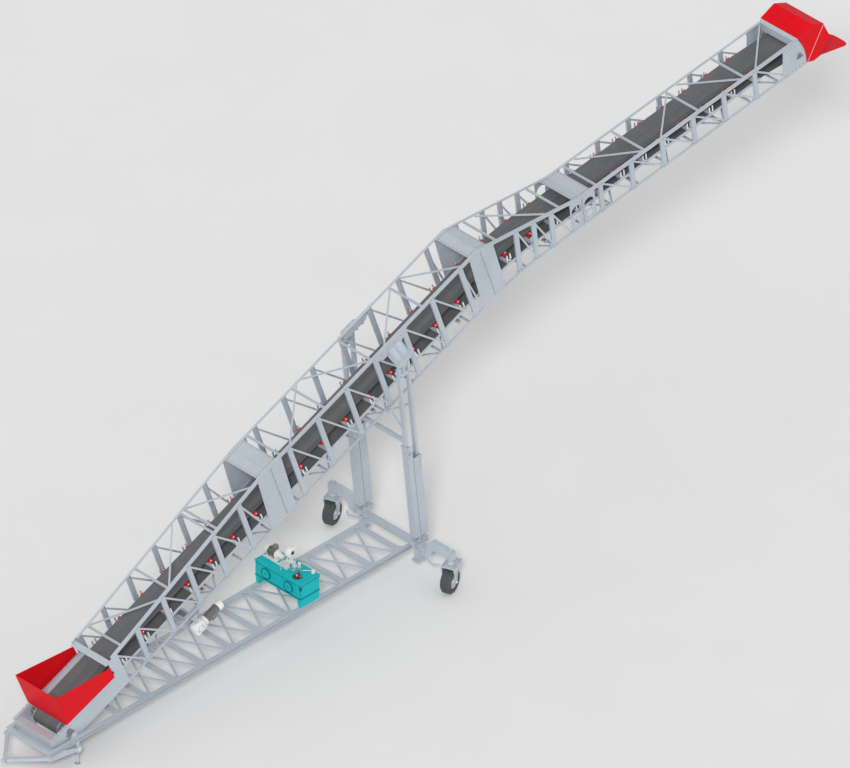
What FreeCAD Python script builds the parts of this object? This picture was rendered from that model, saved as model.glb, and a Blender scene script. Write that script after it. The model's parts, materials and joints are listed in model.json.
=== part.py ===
"""Mobile belt conveyor: a cranked lattice boom on telescopic legs over a low ladder undercarriage.

Millimetres. +X runs from the tow eye at the tail to the discharge spout at the head, +Y is the
left-hand side looking that way, +Z is up. The origin is on the ground under the middle of the
whole length. The machine is mirrored about the XZ plane, apart from its drive and its pump set.
"""
import FreeCAD
import Part
import math
import os
from FreeCAD import Vector as V

# ---------------------------------------------------------------- driving dimensions
HALF_LENGTH = 14820       # from the origin to the tow eye, and to the spout's tip

# undercarriage ladder frame
EYE_R, EYE_BORE_R, EYE_T, EYE_Z = 60, 26, 50, 638
FRAME_TAIL_X = -13880
RAIL_Y, RAIL_W, RAIL_H = 757, 100, 120        # rails: centre line and section
RAIL_Z = 685                                  # underside of the rails
RAIL_FLANGE, RAIL_RECESS = 14, 62
CROSS_START_X, CROSS_PITCH, CROSS_COUNT = -11450, 985, 11
CROSS_W, CROSS_H = 130, 80
LACE, LACE_INSET = 45, 130                    # bracing of the bays: section, set back from the crosses
DRAWBAR = 95                                  # square section of the tow bar
LUG_X, LUG_Z, LUG_R = -12920, 466, 100        # rear lugs of the tow bar, over the jacks

# axle beam, outrigger arms and castors
AXLE_X, AXLE_W, AXLE_Z, AXLE_H, AXLE_END_Y = -1150, 140, 745, 160, 1235
KING_X, KING_Y, KING_R = -1150, 2090, 30
ARM_TOP_Z, ARM_H, ARM_W, ARM_END_Y = 1205, 245, 150, 2195
CASTOR_TRAIL = 60
CROWN_Z, CROWN_T = 770, 40
CASTOR_TURN = 20          # degrees that both castors stand turned, anticlockwise from above
WHEEL_R, TYRE_W = 340, 270
RIM_R, RIM_W = 185, 220
CHEEK_GAP = 37            # from the tyre's side to the middle of a fork cheek

# tail jacks, under the rails
JACK_TUBE_R, JACK_LEG_R, JACK_FOOT_R = 48, 32, 70
JACK_TUBE_Z0 = 290

# telescopic legs
LEG_Y = 985
FOOT_X, FOOT_Z = AXLE_X, 1100
TRUNNION_X, TRUNNION_Z = -1740, 6575
LEG_X_SIZE, LEG_Y_SIZE, LEG_WALL = 430, 210, 10
OUTER_START, OUTER_END = 95, 3040             # along the leg from its foot pin
OUTER_STEP, OUTER_STEP_AT = 440, -47          # the head-side channel ends lower, from this offset on
COLUMN_X_SIZE, COLUMN_Y_SIZE, COLUMN_SPREAD = 85, 110, 157
INNER_START = 320
BEAM_AT, BEAM_SIZE = 3190, 105                # cross beam between the columns
FOOT_PIN_R, FOOT_EYE_R = 35, 55
TRUNNION_R, EYE_CLEARANCE, EYE_WALL = 40, 32, 16
BRACKET_Z = 6750                              # middle of the beam over the trunnion pin
BRACKET_LENGTH, BRACKET_W, BRACKET_H = 410, 120, 100
RUNNING_FIT = 0.3

# boom: outer edges of its chords in the XZ plane
BOOM_HALF = 632                               # outside of the chords from the middle plane
HINGE_X, HINGE_Z, HINGE_R = -12990, 885, 35
SLOPE_LOW, SLOPE_HIGH = math.tan(math.radians(22.2)), math.tan(math.radians(7.5))
BOTTOM_LOW = (-24, 5935)
BOTTOM_HIGH = (4220, 7240)
CURVE_START, CURVE_END, CURVE_STEPS = 1750, 3600, 4
HEAD_X = 12750
CHORD, CHORD_T = 70, 8
TOP_START = (-11600, 2469)
TOP_BENDS = [(-6160, 5475), (1260, 8455), (4930, 8275)]
SIDE_SPLIT_X = 2100                           # the side frames are bolted together here
POST_W, POST_DEPTH, POST_T = 140, 55, 8
BRACE_W, BRACE_T = 50, 10
INSIDE = BOOM_HALF - CHORD                    # free half width between the chords' flanges

# posts: where they meet the top chord, as runs of first place, pitch and count
LOW_POSTS = (-10710, 890, 5)
MIDDLE_POSTS = (-5390, 1005, 7)
CURVE_POSTS = (2620, 620, 3)
HEAD_POSTS = (5610, 1100, 7)
END_POST = 12480

# joint frames: plates from chord to chord, first and last place on the top chord and on the bottom one
JOINT_PLATES = [(-6480, -5670, -5970, -5130), (960, 1790, 1470, 2270), (4500, 5390, 4620, 5510)]

# belt
BELT_W, BELT_T = 800, 12
CARRY_RISE = 640          # middle of the carrying strand over the bottom chord's underside
RETURN_RISE = 330
TROUGH_DEG = 28
CENTRE_ROLL, WING_ROLL = 300, 280
PULLEY_R, PULLEY_W = 200, 880
TAIL_PULLEY = (-13100, 1015)
HEAD_PULLEY_X = 12755
TROUGH_END = HEAD_PULLEY_X - 1430             # the belt flattens out from here to the head pulley
SNUB = 160                                    # the return strand leaves each pulley level for this length
DRIVE_X, DRIVE_DROP, DRIVE_R = -8800, 420, 210   # drive pulley below the bottom chords
ROLL_R = 50
IDLER_START, IDLER_PITCH = -11610, 790
STRINGER_T, STRINGER_H = 16, 80

# power pack
TANK_X0, TANK_X1, TANK_Y, TANK_Z0, TANK_Z1 = -5160, -4500, 795, 1090, 1512

os.makedirs("parts", exist_ok=True)
NODES = {}


# ---------------------------------------------------------------- helpers
def keep(name, shape):
    """Writes one node's STEP."""
    NODES[name] = shape
    shape.exportStep("parts/%s.step" % name)


def keep_pair(name, shape):
    """A node on the left and its mirror image on the right."""
    left, right = both_sides(shape)
    keep(name + "_left", left)
    keep(name + "_right", right)


def fuse(shapes):
    """One solid of shapes that meet."""
    if len(shapes) == 1:
        return shapes[0]
    return shapes[0].multiFuse(shapes[1:]).removeSplitter()


def group(shapes):
    return Part.makeCompound(shapes)


def largest(shape):
    """The main solid that a cut leaves."""
    return max(shape.Solids, key=lambda solid: solid.Volume)


def fitted(shapes, neighbours):
    """Each shape without what its neighbours take, as one solid that meets them face to face."""
    around = group(neighbours)
    return [largest(shape.cut(around)) for shape in shapes]


def block(x0, x1, y0, y1, z0, z1):
    return Part.makeBox(x1 - x0, y1 - y0, z1 - z0, V(x0, y0, z0))


def outline(corners, place):
    """A face with corners (a, b) or (a, b, r), r rounding the corner; place turns (a, b, 0) into space."""
    ends = []
    for i, corner in enumerate(corners):
        here = V(corner[0], corner[1], 0)
        if len(corner) == 2:
            ends.append((here, here, None))
            continue
        after = corners[(i + 1) % len(corners)]
        to_last = (V(corners[i - 1][0], corners[i - 1][1], 0) - here).normalize()
        to_next = (V(after[0], after[1], 0) - here).normalize()
        half = to_last.getAngle(to_next) / 2
        reach = corner[2] / math.tan(half)
        middle = here + (to_last + to_next).normalize() * (corner[2] / math.sin(half) - corner[2])
        ends.append((here + to_last * reach, here + to_next * reach, middle))
    edges = []
    for i, (start, end, middle) in enumerate(ends):
        if middle:
            edges.append(Part.Arc(place(start), place(middle), place(end)).toShape())
        edges.append(Part.makeLine(place(end), place(ends[(i + 1) % len(ends)][0])))
    return Part.Face(Part.Wire(edges))


def slab(corners, y0, y1):
    """An (x, z) outline, extruded from y0 to y1."""
    return outline(corners, lambda p: V(p.x, y0, p.y)).extrude(V(0, y1 - y0, 0))


def plate_yz(corners, x0, x1):
    """A (y, z) outline, extruded from x0 to x1."""
    return outline(corners, lambda p: V(x0, p.x, p.y)).extrude(V(x1 - x0, 0, 0))


def plate_xy(corners, z0, z1):
    """An (x, y) outline, extruded from z0 to z1."""
    return outline(corners, lambda p: V(p.x, p.y, z0)).extrude(V(0, 0, z1 - z0))


def rod(a, b, r):
    d = b - a
    return Part.makeCylinder(r, d.Length, a, d)


def bar(a, b, wide, high, up=V(0, 0, 1)):
    """A rectangular bar from a to b, high along up."""
    along = (b - a).normalize()
    side = up.cross(along).normalize()
    top = along.cross(side)
    corner = a - side * (wide / 2) - top * (high / 2)
    ring = [corner, corner + side * wide, corner + side * wide + top * high, corner + top * high]
    return Part.Face(Part.makePolygon(ring + ring[:1])).extrude(b - a)


def both_sides(shape):
    """The shape and its mirror image across the XZ plane."""
    return [shape, shape.mirror(V(0, 0, 0), V(0, 1, 0))]


def run(first, pitch, count):
    return [first + i * pitch for i in range(count)]


def line_at(points, x):
    """Height of an (x, z) polyline at x, carried on past its ends."""
    for (x0, z0), (x1, z1) in zip(points, points[1:]):
        if x <= x1 or (x1, z1) == points[-1]:
            return z0 + (z1 - z0) * (x - x0) / (x1 - x0)


def clip(points, x0, x1):
    """The part of an (x, z) polyline from x0 to x1."""
    inner = [p for p in points if x0 + 1 < p[0] < x1 - 1]
    return [(x0, line_at(points, x0))] + inner + [(x1, line_at(points, x1))]


def band(points, t0, t1, y0, y1):
    """A strip beside an (x, z) polyline, from t0 to t1 on its left-hand side, with mitred corners."""
    def offset(t):
        out = []
        for i, (x, z) in enumerate(points):
            dirs = []
            if i:
                dirs.append(V(x - points[i - 1][0], 0, z - points[i - 1][1]).normalize())
            if i < len(points) - 1:
                dirs.append(V(points[i + 1][0] - x, 0, points[i + 1][1] - z).normalize())
            mean = sum(dirs[1:], dirs[0]).normalize()
            normal = V(-mean.z, 0, mean.x)
            reach = t / mean.dot(dirs[0])
            out.append((x + normal.x * reach, z + normal.z * reach))
        return out
    return slab(offset(t0) + offset(t1)[::-1], y0, y1)


# ---------------------------------------------------------------- boom outline
def low_z(x):
    return BOTTOM_LOW[1] + SLOPE_LOW * (x - BOTTOM_LOW[0])


def high_z(x):
    return BOTTOM_HIGH[1] + SLOPE_HIGH * (x - BOTTOM_HIGH[0])


def tilt_at(x):
    """Slope angle of the bottom chord at x."""
    low, high = math.atan(SLOPE_LOW), math.atan(SLOPE_HIGH)
    share = min(1, max(0, (x - CURVE_START) / (CURVE_END - CURVE_START)))
    return low + (high - low) * share


def normal_at(x):
    """Square to the bottom chord at x, upwards."""
    return V(-math.sin(tilt_at(x)), 0, math.cos(tilt_at(x)))


def curve_points():
    """The bend of the bottom chord, in equal steps of x, its ends on the two straight runs."""
    step = (CURVE_END - CURVE_START) / CURVE_STEPS
    slopes = [math.tan(tilt_at(CURVE_START + (i + 0.5) * step)) for i in range(CURVE_STEPS)]
    rise = high_z(CURVE_END) - low_z(CURVE_START)
    out = [(CURVE_START, low_z(CURVE_START))]
    for i, slope in enumerate(slopes):
        out.append((CURVE_START + (i + 1) * step, out[-1][1] + rise * slope / sum(slopes)))
    return out


BEND = curve_points()
BOTTOM = [(HINGE_X, low_z(HINGE_X))] + BEND + [(HEAD_X, high_z(HEAD_X))]
TOP_HEAD_Z = TOP_BENDS[-1][1] + SLOPE_HIGH * (HEAD_X - TOP_BENDS[-1][0])
TOP = [TOP_START] + TOP_BENDS + [(HEAD_X, TOP_HEAD_Z)]


def on_chord(points, x):
    return V(x, 0, line_at(points, x))


def post_foot(top_x):
    """Foot on the bottom chord of a post that stands square on it under the top chord's point at top_x."""
    top = on_chord(TOP, top_x)
    slope_x = CURVE_START if top_x < CURVE_START else CURVE_END
    n = normal_at(slope_x)
    foot_x = top_x
    for _ in range(20):
        gap = top.z - line_at(BOTTOM, foot_x)
        foot_x = top_x + gap * math.tan(tilt_at(slope_x)) * n.z * n.z
    return on_chord(BOTTOM, foot_x)


def post(top_x):
    """A channel post on +Y, its web outwards against the chords."""
    top, foot = on_chord(TOP, top_x), post_foot(top_x)
    along = (top - foot).normalize()
    top, foot = top - along * (CHORD / 3), foot + along * (CHORD / 3)
    across = V(along.z, 0, -along.x) * (POST_W / 2 - POST_T / 2)
    web_y = V(0, BOOM_HALF - CHORD_T - POST_T / 2, 0)
    flange_y = V(0, BOOM_HALF - CHORD_T - POST_DEPTH / 2, 0)
    parts = [bar(foot + web_y, top + web_y, POST_W, POST_T, V(0, 1, 0))]
    for s in (-1, 1):
        edge = flange_y + across * s
        parts.append(bar(foot + edge, top + edge, POST_T, POST_DEPTH, V(0, 1, 0)))
    return fuse(parts)


def diagonal(top_x, foot_x):
    """A flat brace from the top chord at top_x to the bottom chord at foot_x."""
    y = V(0, BOOM_HALF - CHORD_T - POST_T - BRACE_T / 2, 0)
    top = on_chord(TOP, top_x) - V(0, 0, CHORD / 2)
    foot = on_chord(BOTTOM, foot_x) + V(0, 0, CHORD / 2)
    return bar(top + y, foot + y, BRACE_W, BRACE_T, V(0, 1, 0))


def joint_plate(top0, top1, foot0, foot1):
    """A plate from chord to chord where two lengths of the boom meet."""
    corners = [(foot0, line_at(BOTTOM, foot0) + 20), (foot1, line_at(BOTTOM, foot1) + 20),
               (top1, line_at(TOP, top1) - 20), (top0, line_at(TOP, top0) - 20)]
    bend = [(x, z - 20) for x, z in TOP_BENDS if top0 < x < top1]
    y = BOOM_HALF - CHORD_T - POST_T
    return slab(corners[:3] + bend + corners[3:], y, y + POST_T)


def plate_holes(top0, top1, foot0, foot1):
    """A large and a small round hole in each half of a joint plate."""
    cutters = []
    for across in (0.24, 0.74):
        for up, r in ((0.62, 170), (0.27, 95)):
            top = on_chord(TOP, top0 + across * (top1 - top0))
            foot = on_chord(BOTTOM, foot0 + across * (foot1 - foot0))
            spot = foot + (top - foot) * up
            cutters.append(rod(spot, spot + V(0, 2 * BOOM_HALF, 0), r))
    return cutters


def chord(points, inwards):
    """An angle along an (x, z) polyline on +Y, in lengths that end where it bends; inwards is 1 or -1."""
    y = BOOM_HALF
    web, flange = sorted((0, inwards * CHORD)), sorted((0, inwards * CHORD_T))
    whole = fuse([band(points, *web, y - CHORD_T, y), band(points, *flange, y - CHORD, y)])
    lengths = []
    for i, ((x0, _), (x1, _)) in enumerate(zip(points, points[1:])):
        low = x0 if i else -HALF_LENGTH
        high = x1 if i < len(points) - 2 else HALF_LENGTH
        lengths += whole.common(block(low, high, 0, 2 * BOOM_HALF, 0, 2 * BRACKET_Z)).Solids
    return lengths


def truss_side(x0, x1, bottom_x0, posts, diagonals, plates):
    """The members of one side frame on +Y: angle chords, channel posts, braces and joint plates, fitted."""
    chords = chord(clip(BOTTOM, bottom_x0, x1), 1) + chord(clip(TOP, x0, x1), -1)
    uprights = fitted([post(x) for x in posts], chords)
    panels = fitted(plates, uprights)
    slants = fitted([diagonal(top_x, foot_x) for top_x, foot_x in diagonals], chords + uprights)
    return chords + uprights + panels + slants


def braces(posts, last_foot):
    """A brace from the head of each post to the foot of the next, the last one to last_foot."""
    feet = [post_foot(x).x for x in posts[1:]] + [last_foot]
    return list(zip(posts, feet))


def boom_sides():
    low, middle, curve, head = (run(*posts) for posts in (LOW_POSTS, MIDDLE_POSTS, CURVE_POSTS, HEAD_POSTS))
    first, second, third = JOINT_PLATES
    lower_braces = [(TAIL_END_TOP - 70, post_foot(low[0]).x)]
    lower_braces += braces(low, first[2]) + braces(middle, second[2])
    second_plate = joint_plate(*second)
    lower_half = block(-HALF_LENGTH, SIDE_SPLIT_X, 0, 2 * BOOM_HALF, 0, 2 * BRACKET_Z)
    lower_plates = [joint_plate(*first), second_plate.common(lower_half)]
    lower = truss_side(TOP_START[0], SIDE_SPLIT_X, HINGE_X + 700, low + middle, lower_braces, lower_plates)
    keep_pair("boom_side_lower", group(lower))
    upper_braces = braces(curve, third[2]) + braces(head, post_foot(END_POST).x)
    upper_plates = [second_plate.cut(lower_half), joint_plate(*third).cut(group(plate_holes(*third)))]
    posts = curve + head + [END_POST]
    upper = truss_side(SIDE_SPLIT_X, HEAD_X, SIDE_SPLIT_X, posts, upper_braces, upper_plates)
    keep_pair("boom_side_upper", group(upper))


# ---------------------------------------------------------------- boom: cross bracing
TOP_BARS = [-11220, -9570, -7980, -7860, -5650, -4070, -2450, -650, 1950, 4190, 5500, 7220, 9150, 10790]
# diagonals of the top: where they start and end, and the side on which they start
TOP_LACES = [(-11170, -9910, 1), (-9520, -8300, -1), (-7810, -6660, 1), (-5290, -3950, -1), (-3710, -2470, 1),
             (-1980, -650, -1), (-300, 730, 1), (2360, 3760, 1), (5890, 7180, 1), (7820, 9170, -1),
             (9550, 10710, 1), (11200, 12500, -1)]
PORTAL_REACH = (290, 350)                     # of the plates over the top, before and after each bend
BOTTOM_BAR_PITCH = 1000


def across(points, x, wide, high, rise):
    """A bar from side to side at x, with its middle that rise over the chord line."""
    spot = on_chord(points, x) + V(0, 0, rise)
    return bar(spot - V(0, INSIDE, 0), spot + V(0, INSIDE, 0), wide, high)


def lace(points, x0, x1, side, wide, high, rise):
    """A bar from one side at x0 to the other at x1, its ends cut along the chords."""
    a = on_chord(points, x0) + V(0, side * INSIDE, rise)
    b = on_chord(points, x1) + V(0, -side * INSIDE, rise)
    more = (b - a).normalize() * wide
    room = block(-HALF_LENGTH, HALF_LENGTH, -INSIDE, INSIDE, 0, 2 * BRACKET_Z)
    return bar(a - more, b + more, wide, high).common(room)


def boom_bracing():
    tops = [across(TOP, x, 60, 40, -30) for x in TOP_BARS]
    tops += [lace(TOP, x0, x1, side, 45, 30, -40) for x0, x1, side in TOP_LACES]
    clear = group(list(tops))
    for x, z in TOP_BENDS:
        edge = clip(TOP, x - PORTAL_REACH[0], x + PORTAL_REACH[1])
        tops.append(band(edge, -CHORD_T, 0, -INSIDE, INSIDE).cut(clear))
    keep("boom_top_bracing", group([solid for t in tops for solid in t.Solids]))
    places = run(-11000, BOTTOM_BAR_PITCH, 24)
    lows = [across(BOTTOM, x, 60, 40, 38) for x in places]
    lows += [lace(BOTTOM, x + 80, x + BOTTOM_BAR_PITCH - 80, -1 if i % 2 else 1, 45, 34, 38)
             for i, x in enumerate(places[:-1])]
    keep("boom_bottom_bracing", group(lows))


# ---------------------------------------------------------------- boom: tail box, hopper, head
TAIL_TOP = [(-13750, 1045), (-11500, 1968)]   # upper edge of the tail's side plates, up to the hopper's back
TAIL_END_TOP, TAIL_END_FOOT = -11430, -10965  # where the side plates end on the top and the bottom chord
TAIL_STRIP = [(-11790, 2318), (-11620, 2386)]  # sloping strip across, over the hopper's back
TAIL_FLOOR_Z = 605
SIDE_T = 10


def tail_box():
    """Open box round the tail pulley: side plates outside the chords, a sloping front, a rim on top."""
    y = BOOM_HALF
    side = [TAIL_TOP[0], TAIL_TOP[1], (-11660, 2220), (-11745, 2384), TOP_START,
            (TAIL_END_TOP, line_at(TOP, TAIL_END_TOP)), (TAIL_END_FOOT, line_at(BOTTOM, TAIL_END_FOOT)),
            (-12560, low_z(-12560)), (-12800, TAIL_FLOOR_Z, 120), (-13620, TAIL_FLOOR_Z)]
    parts = both_sides(slab(side, y, y + SIDE_T))
    front = [TAIL_TOP[0], (TAIL_TOP[0][0] + 12, TAIL_TOP[0][1] + 5), (-13608, TAIL_FLOOR_Z + 5),
             (-13620, TAIL_FLOOR_Z)]
    parts.append(slab(front, -y, y))
    parts.append(band(TAIL_STRIP, -SIDE_T, 0, -y, y))
    rim = band(clip(TAIL_TOP, TAIL_TOP[0][0], HOPPER_LOW[0][0] - 12), -SIDE_T, 0, y + SIDE_T, y + SIDE_T + 60)
    parts += both_sides(rim)
    parts.append(block(TAIL_TOP[0][0] + 8, TAIL_TOP[0][0] + 260, -y, y, TAIL_TOP[0][1] - 12, TAIL_TOP[0][1]))
    pin = rod(V(HINGE_X, y, HINGE_Z), V(HINGE_X, RAIL_Y - RAIL_W / 2 + 32, HINGE_Z), HINGE_R)
    keep("boom_tail_box", fuse(parts + both_sides(pin)))


HOPPER_T = 8
HOPPER_LOW = ((-13210, 1272, 680), (-11512, 1868, 655))      # x, z and half width at the front and the back
HOPPER_RIM = ((-13610, 2300, 720), (-11672, 2215, 655))


def feed_hopper():
    """Three flared plates over the tail, as one folded sheet: a front plate and two wings, open on top."""
    rings = []
    for front, back in (HOPPER_LOW, HOPPER_RIM):
        inner_x = front[0] + HOPPER_T
        inner_z = line_at([front[:2], back[:2]], inner_x)
        left = [V(back[0], back[2], back[1]), V(front[0], front[2], front[1])]
        inner = [V(inner_x, front[2] - HOPPER_T, inner_z), V(back[0], back[2] - HOPPER_T, back[1])]
        ring = left + [V(p.x, -p.y, p.z) for p in left[::-1]]
        ring += [V(p.x, -p.y, p.z) for p in inner[::-1]] + inner
        rings.append(Part.makePolygon(ring + ring[:1]))
    keep("feed_hopper", Part.makeLoft(rings, True, True))


HOOD_HALF, HOOD_T = 660, 10
HOOD_BACK, HOOD_PEAK, HOOD_FRONT, HOOD_TIP = (12630, 9325), (13110, 9535), (13545, 9350), (12975, 8450)
HEAD_CROWN, HEAD_FOOT = (12655, 9268), (12970, 8395)         # ends of the side plates' bowed front edge
SPOUT_CHEEK = [(13219, 8383), (13530, 8530), (13792, 8855, 60), (13619, 9192, 60)]   # their front edge
SPOUT_WAIST = (13650, 490)                    # x and half width where the tongue's edges bend
SPOUT_TIP_Z, SPOUT_TIP_HALF, SPOUT_CORNER, SPOUT_LIP = 7955, 350, 250, 45


def bowed(a, b, bulge):
    """Points on a curve from a to b in the XZ plane that bows forwards by that much."""
    out = []
    for i in range(1, 6):
        f = i / 6
        lean = 4 * bulge * f * (1 - f)
        out.append((a[0] + (b[0] - a[0]) * f + lean, a[1] + (b[1] - a[1]) * f + lean * 0.3))
    return out


def head_parts():
    """Side plates with a bowed front edge and a plate across between them, and the hood outside them."""
    y = BOOM_HALF + 0.5
    back_x = HEAD_X - 640
    front = bowed(HEAD_CROWN, HEAD_FOOT, 75)
    side = [(back_x, line_at(BOTTOM, back_x)), HEAD_FOOT] + front[::-1]
    side += [HEAD_CROWN, (back_x, line_at(TOP, back_x))]
    cross = block(12552, 12564, 0.5 - INSIDE, INSIDE - 0.5, 9060, 9262)
    keep("head_side_plates", group(both_sides(slab(side, y, y + SIDE_T)) + [cross]))
    half = HOOD_HALF
    sheet = band([HOOD_FRONT, HOOD_PEAK, HOOD_BACK], -HOOD_T, 0, -half, half)
    cheek = [HOOD_BACK, HOOD_PEAK, HOOD_FRONT, HOOD_TIP] + front[::-1]
    parts = [sheet] + both_sides(slab(cheek, half - HOOD_T, half))
    rim = band([HOOD_TIP, HOOD_FRONT], 0, 26, half - HOOD_T, half + 12)
    keep("head_hood", fuse(parts + both_sides(rim)))


def spout_plan(inset, corner):
    """The tongue seen from above, drawn in by inset along its sides."""
    half = [(HOOD_TIP[0] - 1, HOOD_HALF - inset), (SPOUT_CHEEK[0][0], HOOD_HALF - inset),
            (SPOUT_WAIST[0], SPOUT_WAIST[1] - inset), (HALF_LENGTH, SPOUT_TIP_HALF - inset) + corner]
    return plate_xy(half + [(x, -y, *r) for x, y, *r in half[::-1]], 0, 2 * BRACKET_Z)


def discharge_spout():
    """Two cheeks in front of the hood and, between them, a falling tongue with lips and a rounded end."""
    fall = (HOOD_TIP[1] - SPOUT_TIP_Z) / (HALF_LENGTH - HOOD_TIP[0])
    root = HOOD_HALF

    def layer(x0, z0, z1):
        """What lies between two heights over the tongue's underside, from x0 on."""
        ends = [(x, HOOD_TIP[1] - fall * (x - HOOD_TIP[0])) for x in (x0, HALF_LENGTH)]
        ring = [(x, z + z0) for x, z in ends] + [(x, z + z1) for x, z in ends[::-1]]
        return slab(ring, -root - 1, root + 1)

    start = HOOD_TIP[0] + 10
    plan = spout_plan(0, (SPOUT_CORNER,))
    cheek = [(HOOD_TIP[0] + 3, HOOD_TIP[1])] + SPOUT_CHEEK + [(HOOD_FRONT[0] + 3, HOOD_FRONT[1])]
    cheeks = both_sides(slab(cheek, root - HOOD_T, root))
    floor = layer(start, 0, HOOD_T).common(plan)
    lips = layer(SPOUT_CHEEK[0][0] + 1, HOOD_T, SPOUT_LIP).common(plan).cut(spout_plan(HOOD_T, ()))
    lengths = []
    for x0, x1 in ((start, SPOUT_WAIST[0]), (SPOUT_WAIST[0], HALF_LENGTH)):
        length = block(x0, x1, -root, root, 0, 2 * BRACKET_Z)
        lengths += floor.common(length).Solids + lips.common(length).Solids
    keep("discharge_spout", group(cheeks + fitted(lengths, cheeks)))


# ---------------------------------------------------------------- belt and rollers
def offset_point(x, rise):
    """The point at that rise square over the bottom chord at x."""
    return on_chord(BOTTOM, x) + normal_at(x) * rise


TAIL_CENTRE = V(TAIL_PULLEY[0], 0, TAIL_PULLEY[1])
HEAD_CENTRE = offset_point(HEAD_PULLEY_X, CARRY_RISE - PULLEY_R)


def belt_ring(spot, n, trough):
    """Closed cross-section of the carrying strand: flat middle, sides turned up by trough degrees."""
    half, wing = CENTRE_ROLL / 2, (BELT_W - CENTRE_ROLL) / 2
    c, s = math.cos(math.radians(trough)), math.sin(math.radians(trough))
    section = [(-half - wing * c, wing * s), (-half, 0), (half, 0), (half + wing * c, wing * s)]
    under = [spot + V(0, y, 0) + n * r for y, r in section]
    over = [spot + V(0, y, 0) + n * (r + BELT_T) for y, r in section[::-1]]
    return Part.makePolygon(under + over + under[:1])


def pulley_wrap(centre, n, outwards):
    """Half a ring of belt round an end pulley, on its side away from the boom."""
    a, b = centre - V(0, BELT_W / 2, 0), centre + V(0, BELT_W / 2, 0)
    ring = rod(a, b, PULLEY_R + BELT_T).cut(rod(a, b, PULLEY_R))
    along = V(n.z, 0, -n.x) * -outwards
    size = 1000
    cutter = Part.makeBox(size, 2 * size, 2 * size, V(0, -size, -size))
    cutter.rotate(V(0, 0, 0), V(0, 1, 0), math.degrees(math.atan2(-along.z, along.x)))
    cutter.translate(centre + along * 8)
    return ring.cut(cutter)


def conveyor_belt():
    tail_n, head_n = normal_at(HINGE_X), normal_at(HEAD_X)
    rings = [belt_ring(TAIL_CENTRE + tail_n * PULLEY_R, tail_n, 0)]
    for x, trough in [(-12300, TROUGH_DEG / 2), (-10800, TROUGH_DEG)] + [(x, TROUGH_DEG) for x, z in BEND]:
        rings.append(belt_ring(offset_point(x, CARRY_RISE), normal_at(x), trough))
    rings.append(belt_ring(offset_point(TROUGH_END, CARRY_RISE), head_n, TROUGH_DEG))
    rings.append(belt_ring(HEAD_CENTRE + head_n * PULLEY_R, head_n, 0))
    carrying = [Part.makeLoft([a, b], True, True) for a, b in zip(rings, rings[1:])]
    middle = [-11800] + [x for x, z in BEND] + [HEAD_PULLEY_X - 900]
    ends = [(TAIL_CENTRE, tail_n, SNUB), (HEAD_CENTRE, head_n, -SNUB)]
    tail, head = [[c - n * PULLEY_R, c - n * PULLEY_R + V(n.z, 0, -n.x) * reach] for c, n, reach in ends]
    path = tail + [offset_point(x, RETURN_RISE) for x in middle] + head[::-1]
    strand = band([(p.x, p.z) for p in path], -BELT_T, 0, -BELT_W / 2, BELT_W / 2)
    cuts = [-HALF_LENGTH] + [p.x for p in path[1:-1]] + [HALF_LENGTH]
    returning = []
    for x0, x1 in zip(cuts, cuts[1:]):
        returning += strand.common(block(x0, x1, -BELT_W, BELT_W, 0, 2 * BRACKET_Z)).Solids
    wraps = [pulley_wrap(TAIL_CENTRE, tail_n, -1), pulley_wrap(HEAD_CENTRE, head_n, 1)]
    keep("conveyor_belt", group(carrying + returning + fitted(wraps, carrying + returning)))


def pulleys():
    for name, centre in (("tail_pulley", TAIL_CENTRE), ("head_pulley", HEAD_CENTRE)):
        drum = rod(centre - V(0, PULLEY_W / 2, 0), centre + V(0, PULLEY_W / 2, 0), PULLEY_R - RUNNING_FIT)
        shaft = rod(centre - V(0, BOOM_HALF, 0), centre + V(0, BOOM_HALF, 0), 35)
        keep(name, fuse([drum, shaft]))


def idler_places():
    return run(IDLER_START, IDLER_PITCH, int((TROUGH_END - IDLER_START) / IDLER_PITCH) + 1)


def carrying_rolls():
    """A flat centre roll at each place, with a raised roll on each side where the belt is fully troughed."""
    rolls = []
    half = CENTRE_ROLL / 2
    c, s = math.cos(math.radians(TROUGH_DEG)), math.sin(math.radians(TROUGH_DEG))
    for x in idler_places():
        n = normal_at(x)
        spot = offset_point(x, CARRY_RISE) - n * (ROLL_R + 1)
        rolls.append(rod(spot - V(0, half - 8, 0), spot + V(0, half - 8, 0), ROLL_R))
        if x < -10800:
            continue
        for side in (-1, 1):
            inner = spot + V(0, side * (half + 34), 0) + n * (34 * s - 4)
            rolls.append(rod(inner, inner + V(0, side * WING_ROLL * c, 0) + n * (WING_ROLL * s), ROLL_R))
    keep("carrying_rolls", group(rolls))


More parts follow.
